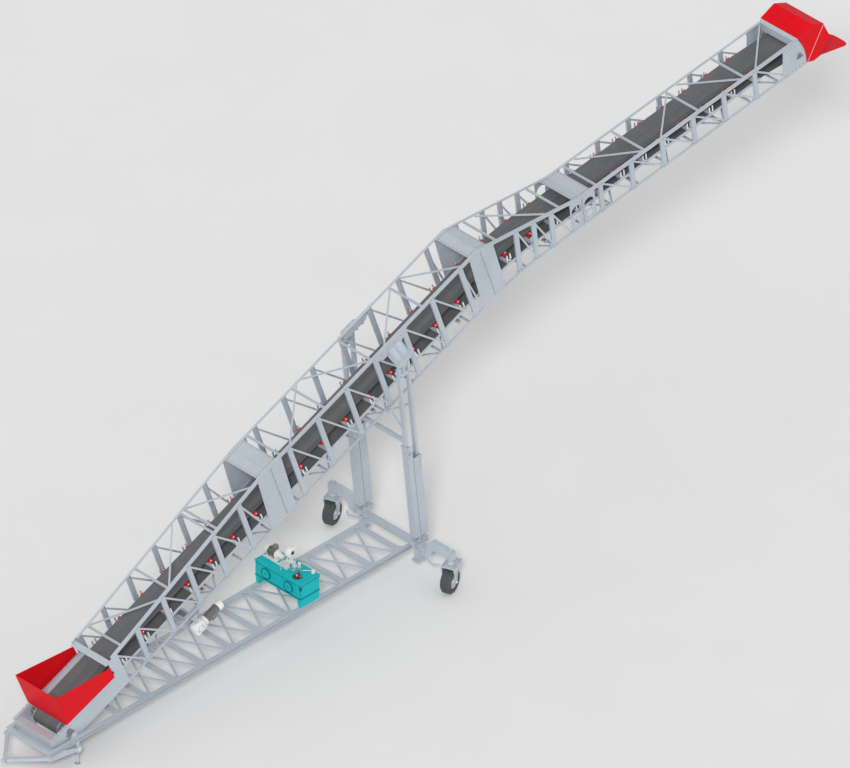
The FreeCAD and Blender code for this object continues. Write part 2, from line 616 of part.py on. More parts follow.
def idler_stands():
    """Cross beams with two legs at each end beside the rolls, on a stringer along each side frame."""
    stands = []
    y = INSIDE - STRINGER_T - 1
    for x in idler_places():
        n = normal_at(x)
        along = V(n.z, 0, -n.x)
        spot = offset_point(x, CARRY_RISE - 2 * ROLL_R - 55)
        stands.append(bar(spot - V(0, y, 0), spot + V(0, y, 0), 90, 50, n))
        feet = [spot + along * d for d in (-55, 55)]
        legs = [bar(foot + n * 25, foot + n * 230, 38, 12, V(0, 1, 0)) for foot in feet]
        for side in (-1, 1):
            stands += [leg.translated(V(0, side * (y - 10), 0)) for leg in legs]
    rise = CARRY_RISE - 2 * ROLL_R - 55
    first, last = IDLER_START - 100, HEAD_PULLEY_X - 1300
    edges = [first, CURVE_START] + [x for x, z in BEND[1:]] + [last]
    for x0, x1 in zip(edges, edges[1:]):
        a, b = offset_point(x0 + 1, rise), offset_point(x1 - 1, rise)
        stands += both_sides(bar(a + V(0, INSIDE - STRINGER_T / 2, 0), b + V(0, INSIDE - STRINGER_T / 2, 0),
                                 STRINGER_H, STRINGER_T, V(0, 1, 0)))
    keep("idler_stands", group(stands))


def return_rolls():
    places = run(-11200, 3000, 8)
    rolls = []
    for x in places:
        spot = offset_point(x, RETURN_RISE - ROLL_R - 1 - BELT_T)
        rolls.append(rod(spot - V(0, INSIDE, 0), spot + V(0, INSIDE, 0), ROLL_R))
    keep("return_rolls", group(rolls))


# ---------------------------------------------------------------- boom: drive station and trunnions
def drive_station():
    n = normal_at(DRIVE_X)
    along = V(n.z, 0, -n.x)
    foot = on_chord(BOTTOM, DRIVE_X)
    centre = foot - n * DRIVE_DROP
    y = 480
    corners = [foot - along * 420, foot + along * 420, centre + along * 200 - n * 120,
               centre - along * 200 - n * 120]
    hanger = both_sides(slab([(p.x, p.z) for p in corners], y, y + 12))
    for s in (-1, 1):
        spot = foot + along * (s * 370) - n * 31
        hanger.append(bar(spot - V(0, BOOM_HALF, 0), spot + V(0, BOOM_HALF, 0), 80, 60, n))
    bore = rod(centre - V(0, BOOM_HALF, 0), centre + V(0, BOOM_HALF, 0), 40 + RUNNING_FIT)
    keep("drive_frame", fuse(hanger).cut(bore))
    drum = rod(centre - V(0, 430, 0), centre + V(0, 430, 0), DRIVE_R)
    shaft = rod(centre - V(0, 800, 0), centre + V(0, y + 40, 0), 40)
    keep("drive_pulley", fuse([drum, shaft]))
    box = centre - V(0, 690, 0)
    gearbox = bar(box - along * 190, box + along * 190, 200, 340, n)
    motor = rod(box + along * 190, box + along * 720, 120)
    cowl = rod(box + along * 720, box + along * 860, 130)
    hole = rod(centre - V(0, 900, 0), centre, 40 + RUNNING_FIT)
    keep("drive_gearmotor", fuse([gearbox, motor, cowl]).cut(hole))


def trunnion_brackets():
    """A gusset on the side frame, ribs and a cover out to a beam over the leg, and ears with the pin."""
    y0 = BOOM_HALF + 0.5
    slope = SLOPE_LOW
    middle_x = TRUNNION_X + 34
    gusset = [(-2440, line_at(TOP, -2440)), (-1210, line_at(TOP, -1210)), (-1450, line_at(TOP, -1450) - 330),
              (-2150, line_at(TOP, -2150) - 330)]
    parts = [slab(gusset, y0, y0 + 14)]
    half = BRACKET_LENGTH / 2
    beam = [(middle_x + s * half, BRACKET_Z + s * half * slope + t * BRACKET_H / 2)
            for s, t in ((-1, -1), (1, -1), (1, 1), (-1, 1))]
    parts.append(slab(beam, LEG_Y - BRACKET_W / 2, LEG_Y + BRACKET_W / 2))
    z = BRACKET_Z - half * slope
    y1 = LEG_Y - BRACKET_W / 2 + 5
    cover = [(y0, z + 290), (y1, z + 35), (y1, z + 25), (y0, z + 280)]
    face = outline(cover, lambda p: V(middle_x - half, p.x, p.y))
    parts.append(face.extrude(V(2 * half, 0, 2 * half * slope)))
    for dx in (-half, -10, half - 20):
        z = BRACKET_Z + dx * slope
        rib = [(y0, z + 130), (y0, z + 340), (LEG_Y + BRACKET_W / 2, z + BRACKET_H / 2 + 8),
               (LEG_Y + BRACKET_W / 2, z - 20), (LEG_Y - BRACKET_W / 2, z - 20)]
        parts.append(plate_yz(rib, middle_x + dx, middle_x + dx + 20))
    ear = [(TRUNNION_X - 92, BRACKET_Z - 60), (TRUNNION_X + 92, BRACKET_Z),
           (TRUNNION_X + 62, TRUNNION_Z - 62, 60), (TRUNNION_X - 62, TRUNNION_Z - 62, 60)]
    for y in (LEG_Y - 60, LEG_Y + 38):
        parts.append(slab(ear, y, y + 22))
    pin = V(TRUNNION_X, LEG_Y, TRUNNION_Z)
    parts.append(rod(pin - V(0, 60, 0), pin + V(0, 60, 0), TRUNNION_R))
    keep_pair("trunnion_bracket", fuse(parts))


# ---------------------------------------------------------------- legs
LEG_FOOT = V(FOOT_X, 0, FOOT_Z)
LEG_TOP = V(TRUNNION_X, 0, TRUNNION_Z)
LEG_DIR = (LEG_TOP - LEG_FOOT).normalize()
LEG_SIDE = V(LEG_DIR.z, 0, -LEG_DIR.x)
LEG_LENGTH = (LEG_TOP - LEG_FOOT).Length


def on_leg(s, t, y=0):
    """The point s along the leg from its foot pin, t to its head side."""
    return LEG_FOOT + LEG_DIR * s + LEG_SIDE * t + V(0, y, 0)


def leg_block(s0, s1, t0, t1, y0, y1):
    ring = [on_leg(s0, t0), on_leg(s0, t1), on_leg(s1, t1), on_leg(s1, t0)]
    return slab([(p.x, p.z) for p in ring], y0, y1)


def leg_outer():
    half = LEG_X_SIZE / 2
    y0, y1 = LEG_Y - LEG_Y_SIZE / 2, LEG_Y + LEG_Y_SIZE / 2
    tube = leg_block(OUTER_START, OUTER_END, -half, half, y0, y1)
    hollow = leg_block(OUTER_START + 100, OUTER_END + 10, LEG_WALL - half, half - LEG_WALL, y0 + LEG_WALL,
                       y1 - LEG_WALL)
    step = leg_block(OUTER_END - OUTER_STEP, OUTER_END + 10, OUTER_STEP_AT, half + 10, y0 - 10, y1 + 10)
    neck = leg_block(0, OUTER_START + 5, -50, 50, LEG_Y - 50, LEG_Y + 50)
    eye = rod(LEG_FOOT + V(0, LEG_Y - 50, 0), LEG_FOOT + V(0, LEG_Y + 50, 0), FOOT_EYE_R)
    bore = rod(LEG_FOOT + V(0, LEG_Y - 60, 0), LEG_FOOT + V(0, LEG_Y + 60, 0), FOOT_PIN_R + RUNNING_FIT)
    keep_pair("leg_outer", fuse([tube.cut(hollow).cut(step), neck, eye]).cut(bore))


def leg_inner():
    """Two columns with a shoe at the foot, a cross-piece with the open eye, and a guide beside the boom."""
    y0, y1 = LEG_Y - COLUMN_Y_SIZE / 2, LEG_Y + COLUMN_Y_SIZE / 2
    half = COLUMN_SPREAD + COLUMN_X_SIZE / 2
    cap_s = LEG_LENGTH - 260
    parts = [leg_block(INNER_START, LEG_LENGTH + 200, s * COLUMN_SPREAD - COLUMN_X_SIZE / 2,
                       s * COLUMN_SPREAD + COLUMN_X_SIZE / 2, y0, y1) for s in (-1, 1)]
    parts.append(leg_block(INNER_START, INNER_START + 120, -half, half, y0, y1))
    parts.append(leg_block(cap_s, cap_s + 100, -half + 5, half - 5, y0, y1))
    parts.append(leg_block(cap_s + 90, LEG_LENGTH - 20, -60, 60, LEG_Y - 28, LEG_Y + 28))
    eye_r = TRUNNION_R + EYE_CLEARANCE + EYE_WALL
    parts.append(rod(LEG_TOP + V(0, LEG_Y - 28, 0), LEG_TOP + V(0, LEG_Y + 28, 0), eye_r))
    guide_y = BOOM_HALF + 23
    apex = V(-1900, guide_y + 25, low_z(-1900))
    for s, t in ((on_leg(3540, -COLUMN_SPREAD).z, -1), (5260, 1)):
        run_up = (s - LEG_FOOT.z) / LEG_DIR.z
        end = on_leg(run_up, t * COLUMN_SPREAD, LEG_Y - COLUMN_Y_SIZE / 2 + 10)
        parts.append(bar(apex, end, 55, 55))
    parts.append(bar(apex - V(60, 0, 25), apex + V(60, 0, 25), 50, 90))
    hole = rod(LEG_TOP + V(0, LEG_Y - 30, 0), LEG_TOP + V(0, LEG_Y + 30, 0), TRUNNION_R + EYE_CLEARANCE)
    under = BRACKET_Z - BRACKET_H / 2 - 55
    far = 1000
    above = slab([(TRUNNION_X - far, under - far * SLOPE_LOW), (TRUNNION_X + far, under + far * SLOPE_LOW),
                  (TRUNNION_X + far, under + far), (TRUNNION_X - far, under + far)], 0, 2 * LEG_Y)
    columns = [p.cut(above) for p in parts[:2]]
    keep_pair("leg_inner", fuse(columns + parts[2:]).cut(hole))


def leg_cross_beam():
    y = LEG_Y - COLUMN_Y_SIZE / 2
    ends = [on_leg(BEAM_AT, -COLUMN_SPREAD, s * y) for s in (-1, 1)]
    keep("leg_cross_beam", bar(*ends, BEAM_SIZE - 20, BEAM_SIZE, LEG_DIR))


# ---------------------------------------------------------------- undercarriage
def undercarriage_frame():
    z0, z1 = RAIL_Z, RAIL_Z + RAIL_H
    y0, y1 = RAIL_Y - RAIL_W / 2, RAIL_Y + RAIL_W / 2
    head_x = AXLE_X - AXLE_W / 2
    rail = block(FRAME_TAIL_X, head_x, y0, y1, z0, z1)
    recess = block(FRAME_TAIL_X - 1, head_x - RAIL_FLANGE, y1 - RAIL_RECESS, y1 + 1,
                   z0 + RAIL_FLANGE, z1 - RAIL_FLANGE)
    rails = both_sides(rail.cut(recess))
    tail = block(FRAME_TAIL_X, FRAME_TAIL_X + 100, -y0, y0, z0, z1)
    places = run(CROSS_START_X, CROSS_PITCH, CROSS_COUNT)
    crosses = [block(x - CROSS_W / 2, x + CROSS_W / 2, -y0, y0, z1 - 10 - CROSS_H, z1 - 10) for x in places]
    laces = []
    for i, x in enumerate(places[:-1]):
        ladder = group(rails + crosses[i:i + 2])
        near, far, z = x + LACE_INSET, x + CROSS_PITCH - LACE_INSET, z1 - 50
        first, second = [bar(V(near, -s * y0, z), V(far, s * y0, z), LACE, LACE).cut(ladder) for s in (-1, 1)]
        halves = second.cut(first).Solids
        laces += [largest(first)] + [half for half in halves if half.Length > CROSS_PITCH / 2]
    keep("undercarriage_frame", group(rails + [tail] + crosses + laces))


def axle_beam():
    """The beam with its leg brackets, foot pins, parking feet and drag rods."""
    top = AXLE_Z + AXLE_H
    parts = [block(AXLE_X - AXLE_W / 2, AXLE_X + AXLE_W / 2, -AXLE_END_Y, AXLE_END_Y, AXLE_Z, top)]
    bracket = block(FOOT_X - 250, FOOT_X + 250, LEG_Y - 90, LEG_Y + 90, top, top + 135)
    recess = block(FOOT_X - 251, FOOT_X + 251, LEG_Y + 30, LEG_Y + 91, top + 22, top + 113)
    parts += both_sides(bracket.cut(recess))
    ear = [(FOOT_X - 110, top + 130), (FOOT_X + 110, top + 130), (FOOT_X + 60, FOOT_Z + 52, 45),
           (FOOT_X - 60, FOOT_Z + 52, 45)]
    for y in (LEG_Y - 84, LEG_Y + 58):
        parts += both_sides(slab(ear, y, y + 26))
    parts += both_sides(rod(V(FOOT_X, LEG_Y - 80, FOOT_Z), V(FOOT_X, LEG_Y + 80, FOOT_Z), FOOT_PIN_R))
    post = [(LEG_Y - 70, AXLE_Z + 5), (LEG_Y + 70, AXLE_Z + 5), (LEG_Y + 70, 455), (LEG_Y - 90, 455)]
    post = plate_yz(post, FOOT_X - 110, FOOT_X + 10)
    pad = block(FOOT_X - 190, FOOT_X + 80, LEG_Y - 90, LEG_Y + 90, 400, 460)
    elbow, end = V(-1210, 1516, 520), V(-1085, 1642, 520)
    rods = [rod(V(FOOT_X - 40, LEG_Y + 30, 660), elbow, 22), rod(elbow, end, 22),
            Part.makeSphere(22, elbow)]
    parts += both_sides(fuse([post, pad] + rods))
    keep("axle_beam", fuse(parts))


def outrigger_arms():
    z0 = ARM_TOP_Z - ARM_H
    profile = [(AXLE_END_Y, AXLE_Z + 40), (AXLE_END_Y, AXLE_Z + AXLE_H), (1450, ARM_TOP_Z, 60),
               (ARM_END_Y, ARM_TOP_Z), (ARM_END_Y, z0), (1545, z0, 30), (1440, AXLE_Z - 8, 60),
               (AXLE_END_Y + 65, AXLE_Z - 8, 50)]
    arm = plate_yz(profile, KING_X - ARM_W / 2, KING_X + ARM_W / 2)
    bore = rod(V(KING_X, KING_Y, z0 - 10), V(KING_X, KING_Y, ARM_TOP_Z + 10), KING_R + RUNNING_FIT)
    keep_pair("outrigger_arm", arm.cut(bore))


def tow_bar():
    """A V of bars from the eye to the rails, with side bars running back under the rails to round lugs."""
    z = RAIL_Z - DRAWBAR / 2
    corner_x = FRAME_TAIL_X + 10
    centre = V(EYE_R - HALF_LENGTH, 0, EYE_Z)
    parts = [rod(centre - V(0, 0, EYE_T / 2), centre + V(0, 0, EYE_T / 2), EYE_R)]
    parts.append(bar(centre + V(45, 0, 0), centre + V(150, 0, 0), 110, EYE_T))
    for s in (-1, 1):
        corner = V(corner_x, s * RAIL_Y, z)
        parts.append(bar(V(centre.x + 95, s * 35, z), corner, DRAWBAR, DRAWBAR))
        side = [(corner_x - 50, RAIL_Z), (corner_x - 50, RAIL_Z - DRAWBAR, 20), (LUG_X, LUG_Z - 45),
                (LUG_X, LUG_Z + 60), (LUG_X - 500, RAIL_Z)]
        y0 = s * (RAIL_Y + JACK_TUBE_R + 1)
        parts.append(slab(side, y0, y0 + s * 24))
        parts.append(rod(V(LUG_X, y0, LUG_Z), V(LUG_X, y0 + s * 24, LUG_Z), LUG_R))
        end_x = LUG_X - JACK_TUBE_R - 12
        web = [(corner_x - 40, RAIL_Z), (corner_x - 40, RAIL_Z - DRAWBAR, 20), (end_x, LUG_Z - 30),
               (end_x, LUG_Z + 50), (LUG_X - 520, RAIL_Z)]
        parts.append(slab(web, s * (RAIL_Y - 45), y0 + s * 5))
    hole = rod(centre - V(0, 0, EYE_T), centre + V(0, 0, EYE_T), EYE_BORE_R)
    keep("tow_bar", fuse(parts).cut(hole))


def boom_hinge_ears():
    """A plate on the inner edge of each rail, bored for the boom's hinge pin."""
    z1 = RAIL_Z + RAIL_H
    y = RAIL_Y - RAIL_W / 2
    ear = slab([(HINGE_X - 120, z1), (HINGE_X + 120, z1), (HINGE_X + 60, HINGE_Z + 80, 60),
                (HINGE_X - 60, HINGE_Z + 80, 60)], y, y + 30)
    bore = rod(V(HINGE_X, 0, HINGE_Z), V(HINGE_X, 2 * RAIL_Y, HINGE_Z), HINGE_R + RUNNING_FIT)
    keep("boom_hinge_ears", group(both_sides(ear.cut(bore))))


def castor(side, name):
    """A fork under a turned crown, with its king pin, axle and wheel."""
    y = side * KING_Y
    wheel_x = KING_X - CASTOR_TRAIL
    z1 = CROWN_Z + CROWN_T
    wide = TYRE_W / 2 + CHEEK_GAP + 13
    crown = plate_xy([(KING_X - 200, y - wide), (KING_X + 300, y - wide, 30), (KING_X + 300, y + wide, 30),
                      (KING_X - 200, y + wide)], CROWN_Z, z1)
    collar = rod(V(KING_X, y, z1 - 1), V(KING_X, y, ARM_TOP_Z - ARM_H - 6), 75)
    stem = rod(V(KING_X, y, CROWN_Z), V(KING_X, y, ARM_TOP_Z + 12), KING_R)
    nut = rod(V(KING_X, y, ARM_TOP_Z + 6), V(KING_X, y, ARM_TOP_Z + 40), 48)
    cheek = [(KING_X - 200, CROWN_Z + 5), (KING_X + 300, CROWN_Z + 5), (KING_X + 150, CROWN_Z - 75, 40),
             (wheel_x + 100, 560), (wheel_x + 60, WHEEL_R - 60, 50), (wheel_x - 60, WHEEL_R - 60, 50),
             (wheel_x - 90, 560), (KING_X - 200, CROWN_Z - 60)]
    parts = [crown, collar, stem, nut]
    for s in (-1, 1):
        plate_y = y + s * (TYRE_W / 2 + CHEEK_GAP)
        parts.append(slab(cheek, plate_y - 8, plate_y + 8))
    reach = TYRE_W / 2 + CHEEK_GAP + 25
    parts.append(rod(V(wheel_x, y - reach, WHEEL_R), V(wheel_x, y + reach, WHEEL_R), 18))
    keep("castor_fork_" + name, turned(fuse(parts), y))
    tyre, rim = wheel(V(wheel_x, y, WHEEL_R))
    keep("tyre_" + name, turned(tyre, y))
    keep("rim_" + name, turned(rim, y))


def turned(shape, y):
    """The shape turned with its castor about the king pin at y."""
    return shape.rotate(V(KING_X, y, 0), V(0, 0, 1), CASTOR_TURN)


def wheel(centre):
    """Tyre and dished rim round a hub, along Y."""
    def drum(half, r):
        return rod(centre - V(0, half, 0), centre + V(0, half, 0), r)

    tyre = drum(TYRE_W / 2, WHEEL_R)
    tyre = tyre.makeFillet(45, [e for e in tyre.Edges if isinstance(e.Curve, Part.Circle)])
    rim = drum(RIM_W / 2, RIM_R)
    for s in (-1, 1):
        dish = rod(centre + V(0, s * (RIM_W / 2 - 50), 0), centre + V(0, s * (RIM_W / 2 + 1), 0), RIM_R - 15)
        rim = rim.cut(dish)
    rim = fuse([rim, drum(TYRE_W / 2 + 20, 50)]).cut(drum(TYRE_W, 18 + RUNNING_FIT))
    return tyre.cut(drum(TYRE_W, RIM_R)), rim


def jacks():
    """A tube under each rail and the leg that slides in it."""
    for side, name in ((1, "left"), (-1, "right")):
        y = side * RAIL_Y
        tube = rod(V(LUG_X, y, JACK_TUBE_Z0), V(LUG_X, y, RAIL_Z), JACK_TUBE_R)
        core = rod(V(LUG_X, y, JACK_TUBE_Z0 - 1), V(LUG_X, y, RAIL_Z - 8), JACK_LEG_R + 4)
        keep("jack_tube_" + name, tube.cut(core))
        leg = rod(V(LUG_X, y, 10), V(LUG_X, y, 400), JACK_LEG_R)
        foot = rod(V(LUG_X, y, 0), V(LUG_X, y, 20), JACK_FOOT_R)
        keep("jack_leg_" + name, fuse([leg, foot]))


def power_pack():
    tank = block(TANK_X0, TANK_X1, -TANK_Y, TANK_Y, TANK_Z0, TANK_Z1)
    covers = [rod(V(TANK_X0 - 12, y, 1270), V(TANK_X0 + 5, y, 1270), 140) for y in (420, -375)]
    base_z = RAIL_Z + RAIL_H
    feet = []
    for s in (-1, 1):
        y = s * (TANK_Y - 60)
        feet.append(block(TANK_X0, TANK_X1, y - 55, y + 55, base_z + 95, TANK_Z0 + 5))
        for x in (TANK_X0 + 60, TANK_X1 - 60):
            feet.append(block(x - 45, x + 45, y - 45, y + 45, base_z, base_z + 100))
    keep("hydraulic_tank", fuse([tank] + covers + feet))
    x, z = -4750, TANK_Z1 + 140
    parts = [rod(V(x, 700, z), V(x, 450, z), 110), rod(V(x, 830, z), V(x, 698, z), 118),
             rod(V(x, 452, z), V(x, 350, z), 80), rod(V(x, 352, z), V(x, 230, z), 60)]
    parts.append(block(x - 110, x + 110, 420, 690, TANK_Z1, z - 60))
    keep("pump_set", fuse(parts))


boom_sides()
boom_bracing()
tail_box()
feed_hopper()
head_parts()
discharge_spout()
conveyor_belt()
pulleys()
carrying_rolls()
idler_stands()
return_rolls()
drive_station()
trunnion_brackets()
leg_outer()
leg_inner()
leg_cross_beam()
undercarriage_frame()
axle_beam()
outrigger_arms()
tow_bar()
boom_hinge_ears()
for SIDE, NAME in ((1, "left"), (-1, "right")):
    castor(SIDE, NAME)
jacks()
power_pack()

for NAME, SHAPE in NODES.items():
    BOX = SHAPE.BoundBox
    print(NAME, SHAPE.isValid(), len(SHAPE.Solids), round(SHAPE.Volume / 1e9, 5),
          [round(v) for v in (BOX.XMin, BOX.XMax, BOX.YMin, BOX.YMax, BOX.ZMin, BOX.ZMax)])
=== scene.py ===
"""Mobile belt conveyor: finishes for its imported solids, and the small parts that are fixed to them."""
import json
import math
import bmesh
import bpy
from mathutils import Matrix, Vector


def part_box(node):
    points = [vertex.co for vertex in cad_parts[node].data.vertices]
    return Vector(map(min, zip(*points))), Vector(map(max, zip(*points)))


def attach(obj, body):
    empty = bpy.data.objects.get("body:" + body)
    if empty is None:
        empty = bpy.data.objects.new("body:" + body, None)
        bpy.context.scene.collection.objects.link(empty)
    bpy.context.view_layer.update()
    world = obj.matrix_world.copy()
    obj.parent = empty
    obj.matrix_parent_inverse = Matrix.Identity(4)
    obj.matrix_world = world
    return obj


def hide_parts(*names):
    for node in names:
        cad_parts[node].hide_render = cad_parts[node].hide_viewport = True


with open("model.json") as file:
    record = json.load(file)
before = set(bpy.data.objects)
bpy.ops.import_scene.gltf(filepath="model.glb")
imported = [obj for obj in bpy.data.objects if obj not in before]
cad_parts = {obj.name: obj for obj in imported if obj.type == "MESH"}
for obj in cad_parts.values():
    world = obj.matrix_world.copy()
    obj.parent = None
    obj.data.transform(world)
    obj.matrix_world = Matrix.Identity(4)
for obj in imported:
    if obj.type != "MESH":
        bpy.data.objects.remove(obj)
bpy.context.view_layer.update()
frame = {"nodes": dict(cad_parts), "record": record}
X, Y, Z = Vector((1, 0, 0)), Vector((0, 1, 0)), Vector((0, 0, 1))
SIDES = (("left", 1), ("right", -1))
scene = bpy.context.scene


def at(x, y, z):
    return Vector((x, y, z))


def mm(*steps):
    """A profile from its distances along the axis and radii in turn, in millimetres."""
    return [(along / 1000, radius / 1000) for along, radius in zip(steps[::2], steps[1::2])]


def linked(name, data):
    """A new object in the scene, at the origin."""
    obj = bpy.data.objects.new(name, data)
    scene.collection.objects.link(obj)
    return obj


# ---------------------------------------------------------------- places that several pieces share
AXLE_X, KING_Y = -1.150, 2.090                # the axle beam, and a castor's king pin
HINGE_X, HINGE_Z = -12.990, 0.885             # the boom's hinge
JACK_X = -12.920
RAIL_Y, RAIL_TOP = 0.757, 0.805               # the middle and the top of a ground rail


# ---------------------------------------------------------------- camera, floor and light
VIEW_CENTRE = at(0.0378, 0.0126, 4.6654)
VIEW_WIDTH = 21.249         # metres across the view at the machine
LENS, SENSOR = 1200.0, 36.0
VIEW_TURN, VIEW_FALL = math.radians(45), math.radians(35.264)
FLOOR_HALF = 400.0


def camera():
    data = bpy.data.cameras.new("camera")
    data.lens, data.sensor_width = LENS, SENSOR
    flat = math.cos(VIEW_FALL)
    back = at(-math.cos(VIEW_TURN) * flat, -math.sin(VIEW_TURN) * flat, math.sin(VIEW_FALL))
    distance = VIEW_WIDTH * LENS / SENSOR
    data.clip_start, data.clip_end = 10.0, 4 * distance
    obj = linked("camera", data)
    obj.location = VIEW_CENTRE + back * distance
    obj.rotation_mode = "QUATERNION"
    obj.rotation_quaternion = (-back).to_track_quat("-Z", "Y")
    scene.camera = obj


def lights():
    sun = bpy.data.lights.new("sun", "SUN")
    sun.energy, sun.angle = 1.6, math.radians(10)
    obj = linked("sun", sun)
    obj.rotation_mode = "QUATERNION"
    obj.rotation_quaternion = at(0.60, 0.53, -0.63).to_track_quat("-Z", "Y")
    world = bpy.data.worlds.new("studio")
    scene.world = world
    world.use_nodes = True
    world.node_tree.nodes["Background"].inputs["Color"].default_value = (1.0, 1.0, 1.0, 1.0)
    world.node_tree.nodes["Background"].inputs["Strength"].default_value = 0.62
    scene.view_settings.view_transform = "Standard"


# ---------------------------------------------------------------- finishes
def add_node(tree, kind, settings=None, sockets=None):
    """A node of that type: its settings first, then the values or links of its sockets."""
    node = tree.nodes.new(kind)
    for name, value in (settings or {}).items():
        setattr(node, name, value)
    for key, value in (sockets or {}).items():
        value = value.socket if isinstance(value, Level) else value
        if isinstance(value, bpy.types.NodeSocket):
            tree.links.new(value, node.inputs[key])
        else:
            node.inputs[key].default_value = value
    return node


class Level:
    """A number that varies over a surface; an expression on it adds the Math nodes."""

    def __init__(self, tree, socket):
        self.tree, self.socket = tree, socket

    def maths(self, operation, a, b=0.0, clamp=False):
        settings = {"operation": operation, "use_clamp": clamp}
        return Level(self.tree, add_node(self.tree, "ShaderNodeMath", settings, {0: a, 1: b}).outputs[0])

    def __add__(self, other):
        return self.maths("ADD", self, other)

    def __sub__(self, other):
        return self.maths("SUBTRACT", self, other)

    def __rsub__(self, other):
        return self.maths("SUBTRACT", other, self)

    def __mul__(self, other):
        return self.maths("MULTIPLY", self, other)

    def clamped(self):
        return self.maths("ADD", self, 0.0, clamp=True)

    __radd__, __rmul__ = __add__, __mul__


class Finish:
    """One material: a surface shader, and the patterns that feed it."""

    def __init__(self, name, **plain):
        self.material = bpy.data.materials.new(name)
        self.material.use_nodes = True
        self.tree = self.material.node_tree
        self.shader = self.tree.nodes["Principled BSDF"]
        self.place = self.node("ShaderNodeTexCoord").outputs["Object"]
        for key, value in plain.items():
            self.shader.inputs[key.replace("_", " ")].default_value = value

    def node(self, kind, settings=None, sockets=None):
        return add_node(self.tree, kind, settings, sockets)

    def noise(self, scale, detail=3.0, stretch=(1, 1, 1), contrast=1.0):
        """Cloudy pattern from 0 to 1, scale in patches a metre."""
        place = self.node("ShaderNodeMapping", {}, {"Vector": self.place, "Scale": stretch}).outputs[0]
        node = self.node("ShaderNodeTexNoise", {}, {"Vector": place, "Scale": scale, "Detail": detail})
        level = Level(self.tree, node.outputs[0])
        return ((level - 0.5) * contrast + 0.5).clamped() if contrast != 1.0 else level

    def upward(self):
        """1 on faces that look up, 0 on upright ones and below."""
        normal = self.node("ShaderNodeNewGeometry").outputs["Normal"]
        return Level(self.tree, self.node("ShaderNodeSeparateXYZ", {}, {0: normal}).outputs[2]).clamped()

    def mix(self, level, low, high):
        """A colour from low to high."""
        sockets = {0: level, 6: self.colour(low), 7: self.colour(high)}
        return self.node("ShaderNodeMix", {"data_type": "RGBA"}, sockets).outputs[2]

    @staticmethod
    def colour(value):
        return (*value, 1.0) if isinstance(value, tuple) and len(value) == 3 else value

    def use(self, colour, roughness, bump=None, depth=0.001):
        """Feeds the shader; the bump's depth is in metres."""
        for name, value in (("Base Color", colour), ("Roughness", roughness)):
            value = value.socket if isinstance(value, Level) else value
            self.tree.links.new(value, self.shader.inputs[name])
        if bump is not None:
            node = self.node("ShaderNodeBump", {}, {"Height": bump, "Distance": depth, "Strength": 1.0})
            self.tree.links.new(node.outputs[0], self.shader.inputs["Normal"])
        return self.material


DUST, WORN_PAINT = (0.36, 0.34, 0.31), (0.16, 0.14, 0.13)


def paint(name, colour, gloss, dirt=0.30, chips=0.0, shine=0.5):
    """Sprayed paint: slight clouding, orange peel, dust where it can lie and a few worn spots."""
    made = Finish(name, Specular_IOR_Level=shine)
    dark = tuple(c * 0.90 for c in colour)
    light = tuple(min(1.0, c * 1.05) for c in colour)
    clouds = made.noise(0.9, 4.0, contrast=1.8)
    base = made.mix(clouds, dark, light)
    lying = (made.upward() * made.noise(5.0, 5.0, contrast=2.2) * dirt).clamped()
    base = made.mix(lying, base, DUST)
    if chips:
        worn = ((made.noise(26.0, 2.0, contrast=6.0) - 0.82) * 5.0 * chips).clamped()
        base = made.mix(worn, base, WORN_PAINT)
    rough = made.noise(3.0, 3.0) * 0.16 + (gloss - 0.08) + lying * 0.35
    return made.use(base, rough, bump=made.noise(190.0, 2.0), depth=0.0006)


def turned_steel(name, colour, rough=0.34):
    """Steel with fine turning marks, spaced across the machine."""
    made = Finish(name, Metallic=0.85)
    rings = made.noise(1.0, 2.0, stretch=(2.0, 420.0, 2.0))
    base = made.mix(made.noise(7.0, 3.0, contrast=1.6), tuple(c * 0.78 for c in colour), colour)
    return made.use(base, rings * 0.20 + rough, bump=rings, depth=0.0004)


def belting(name):
    """Rubber cover with long rubbing marks, dusted by what it carries."""
    made = Finish(name, Specular_IOR_Level=0.35)
    streaks = made.noise(1.0, 4.0, stretch=(0.35, 16.0, 0.35), contrast=1.6)
    base = made.mix(streaks, (0.098, 0.102, 0.110), (0.138, 0.142, 0.150))
    powder = (made.upward() * made.noise(4.0, 5.0, contrast=2.6) * 0.22).clamped()
    base = made.mix(powder, base, (0.22, 0.21, 0.19))
    return made.use(base, made.noise(9.0, 3.0) * 0.20 + 0.62, bump=made.noise(240.0, 2.0), depth=0.0008)


def tyre_rubber(name):
    made = Finish(name, Specular_IOR_Level=0.35)
    base = made.mix(made.noise(14.0, 4.0, contrast=1.8), (0.068, 0.070, 0.074), (0.108, 0.109, 0.112))
    return made.use(base, made.noise(22.0, 3.0) * 0.22 + 0.60, bump=made.noise(330.0, 2.0), depth=0.0006)


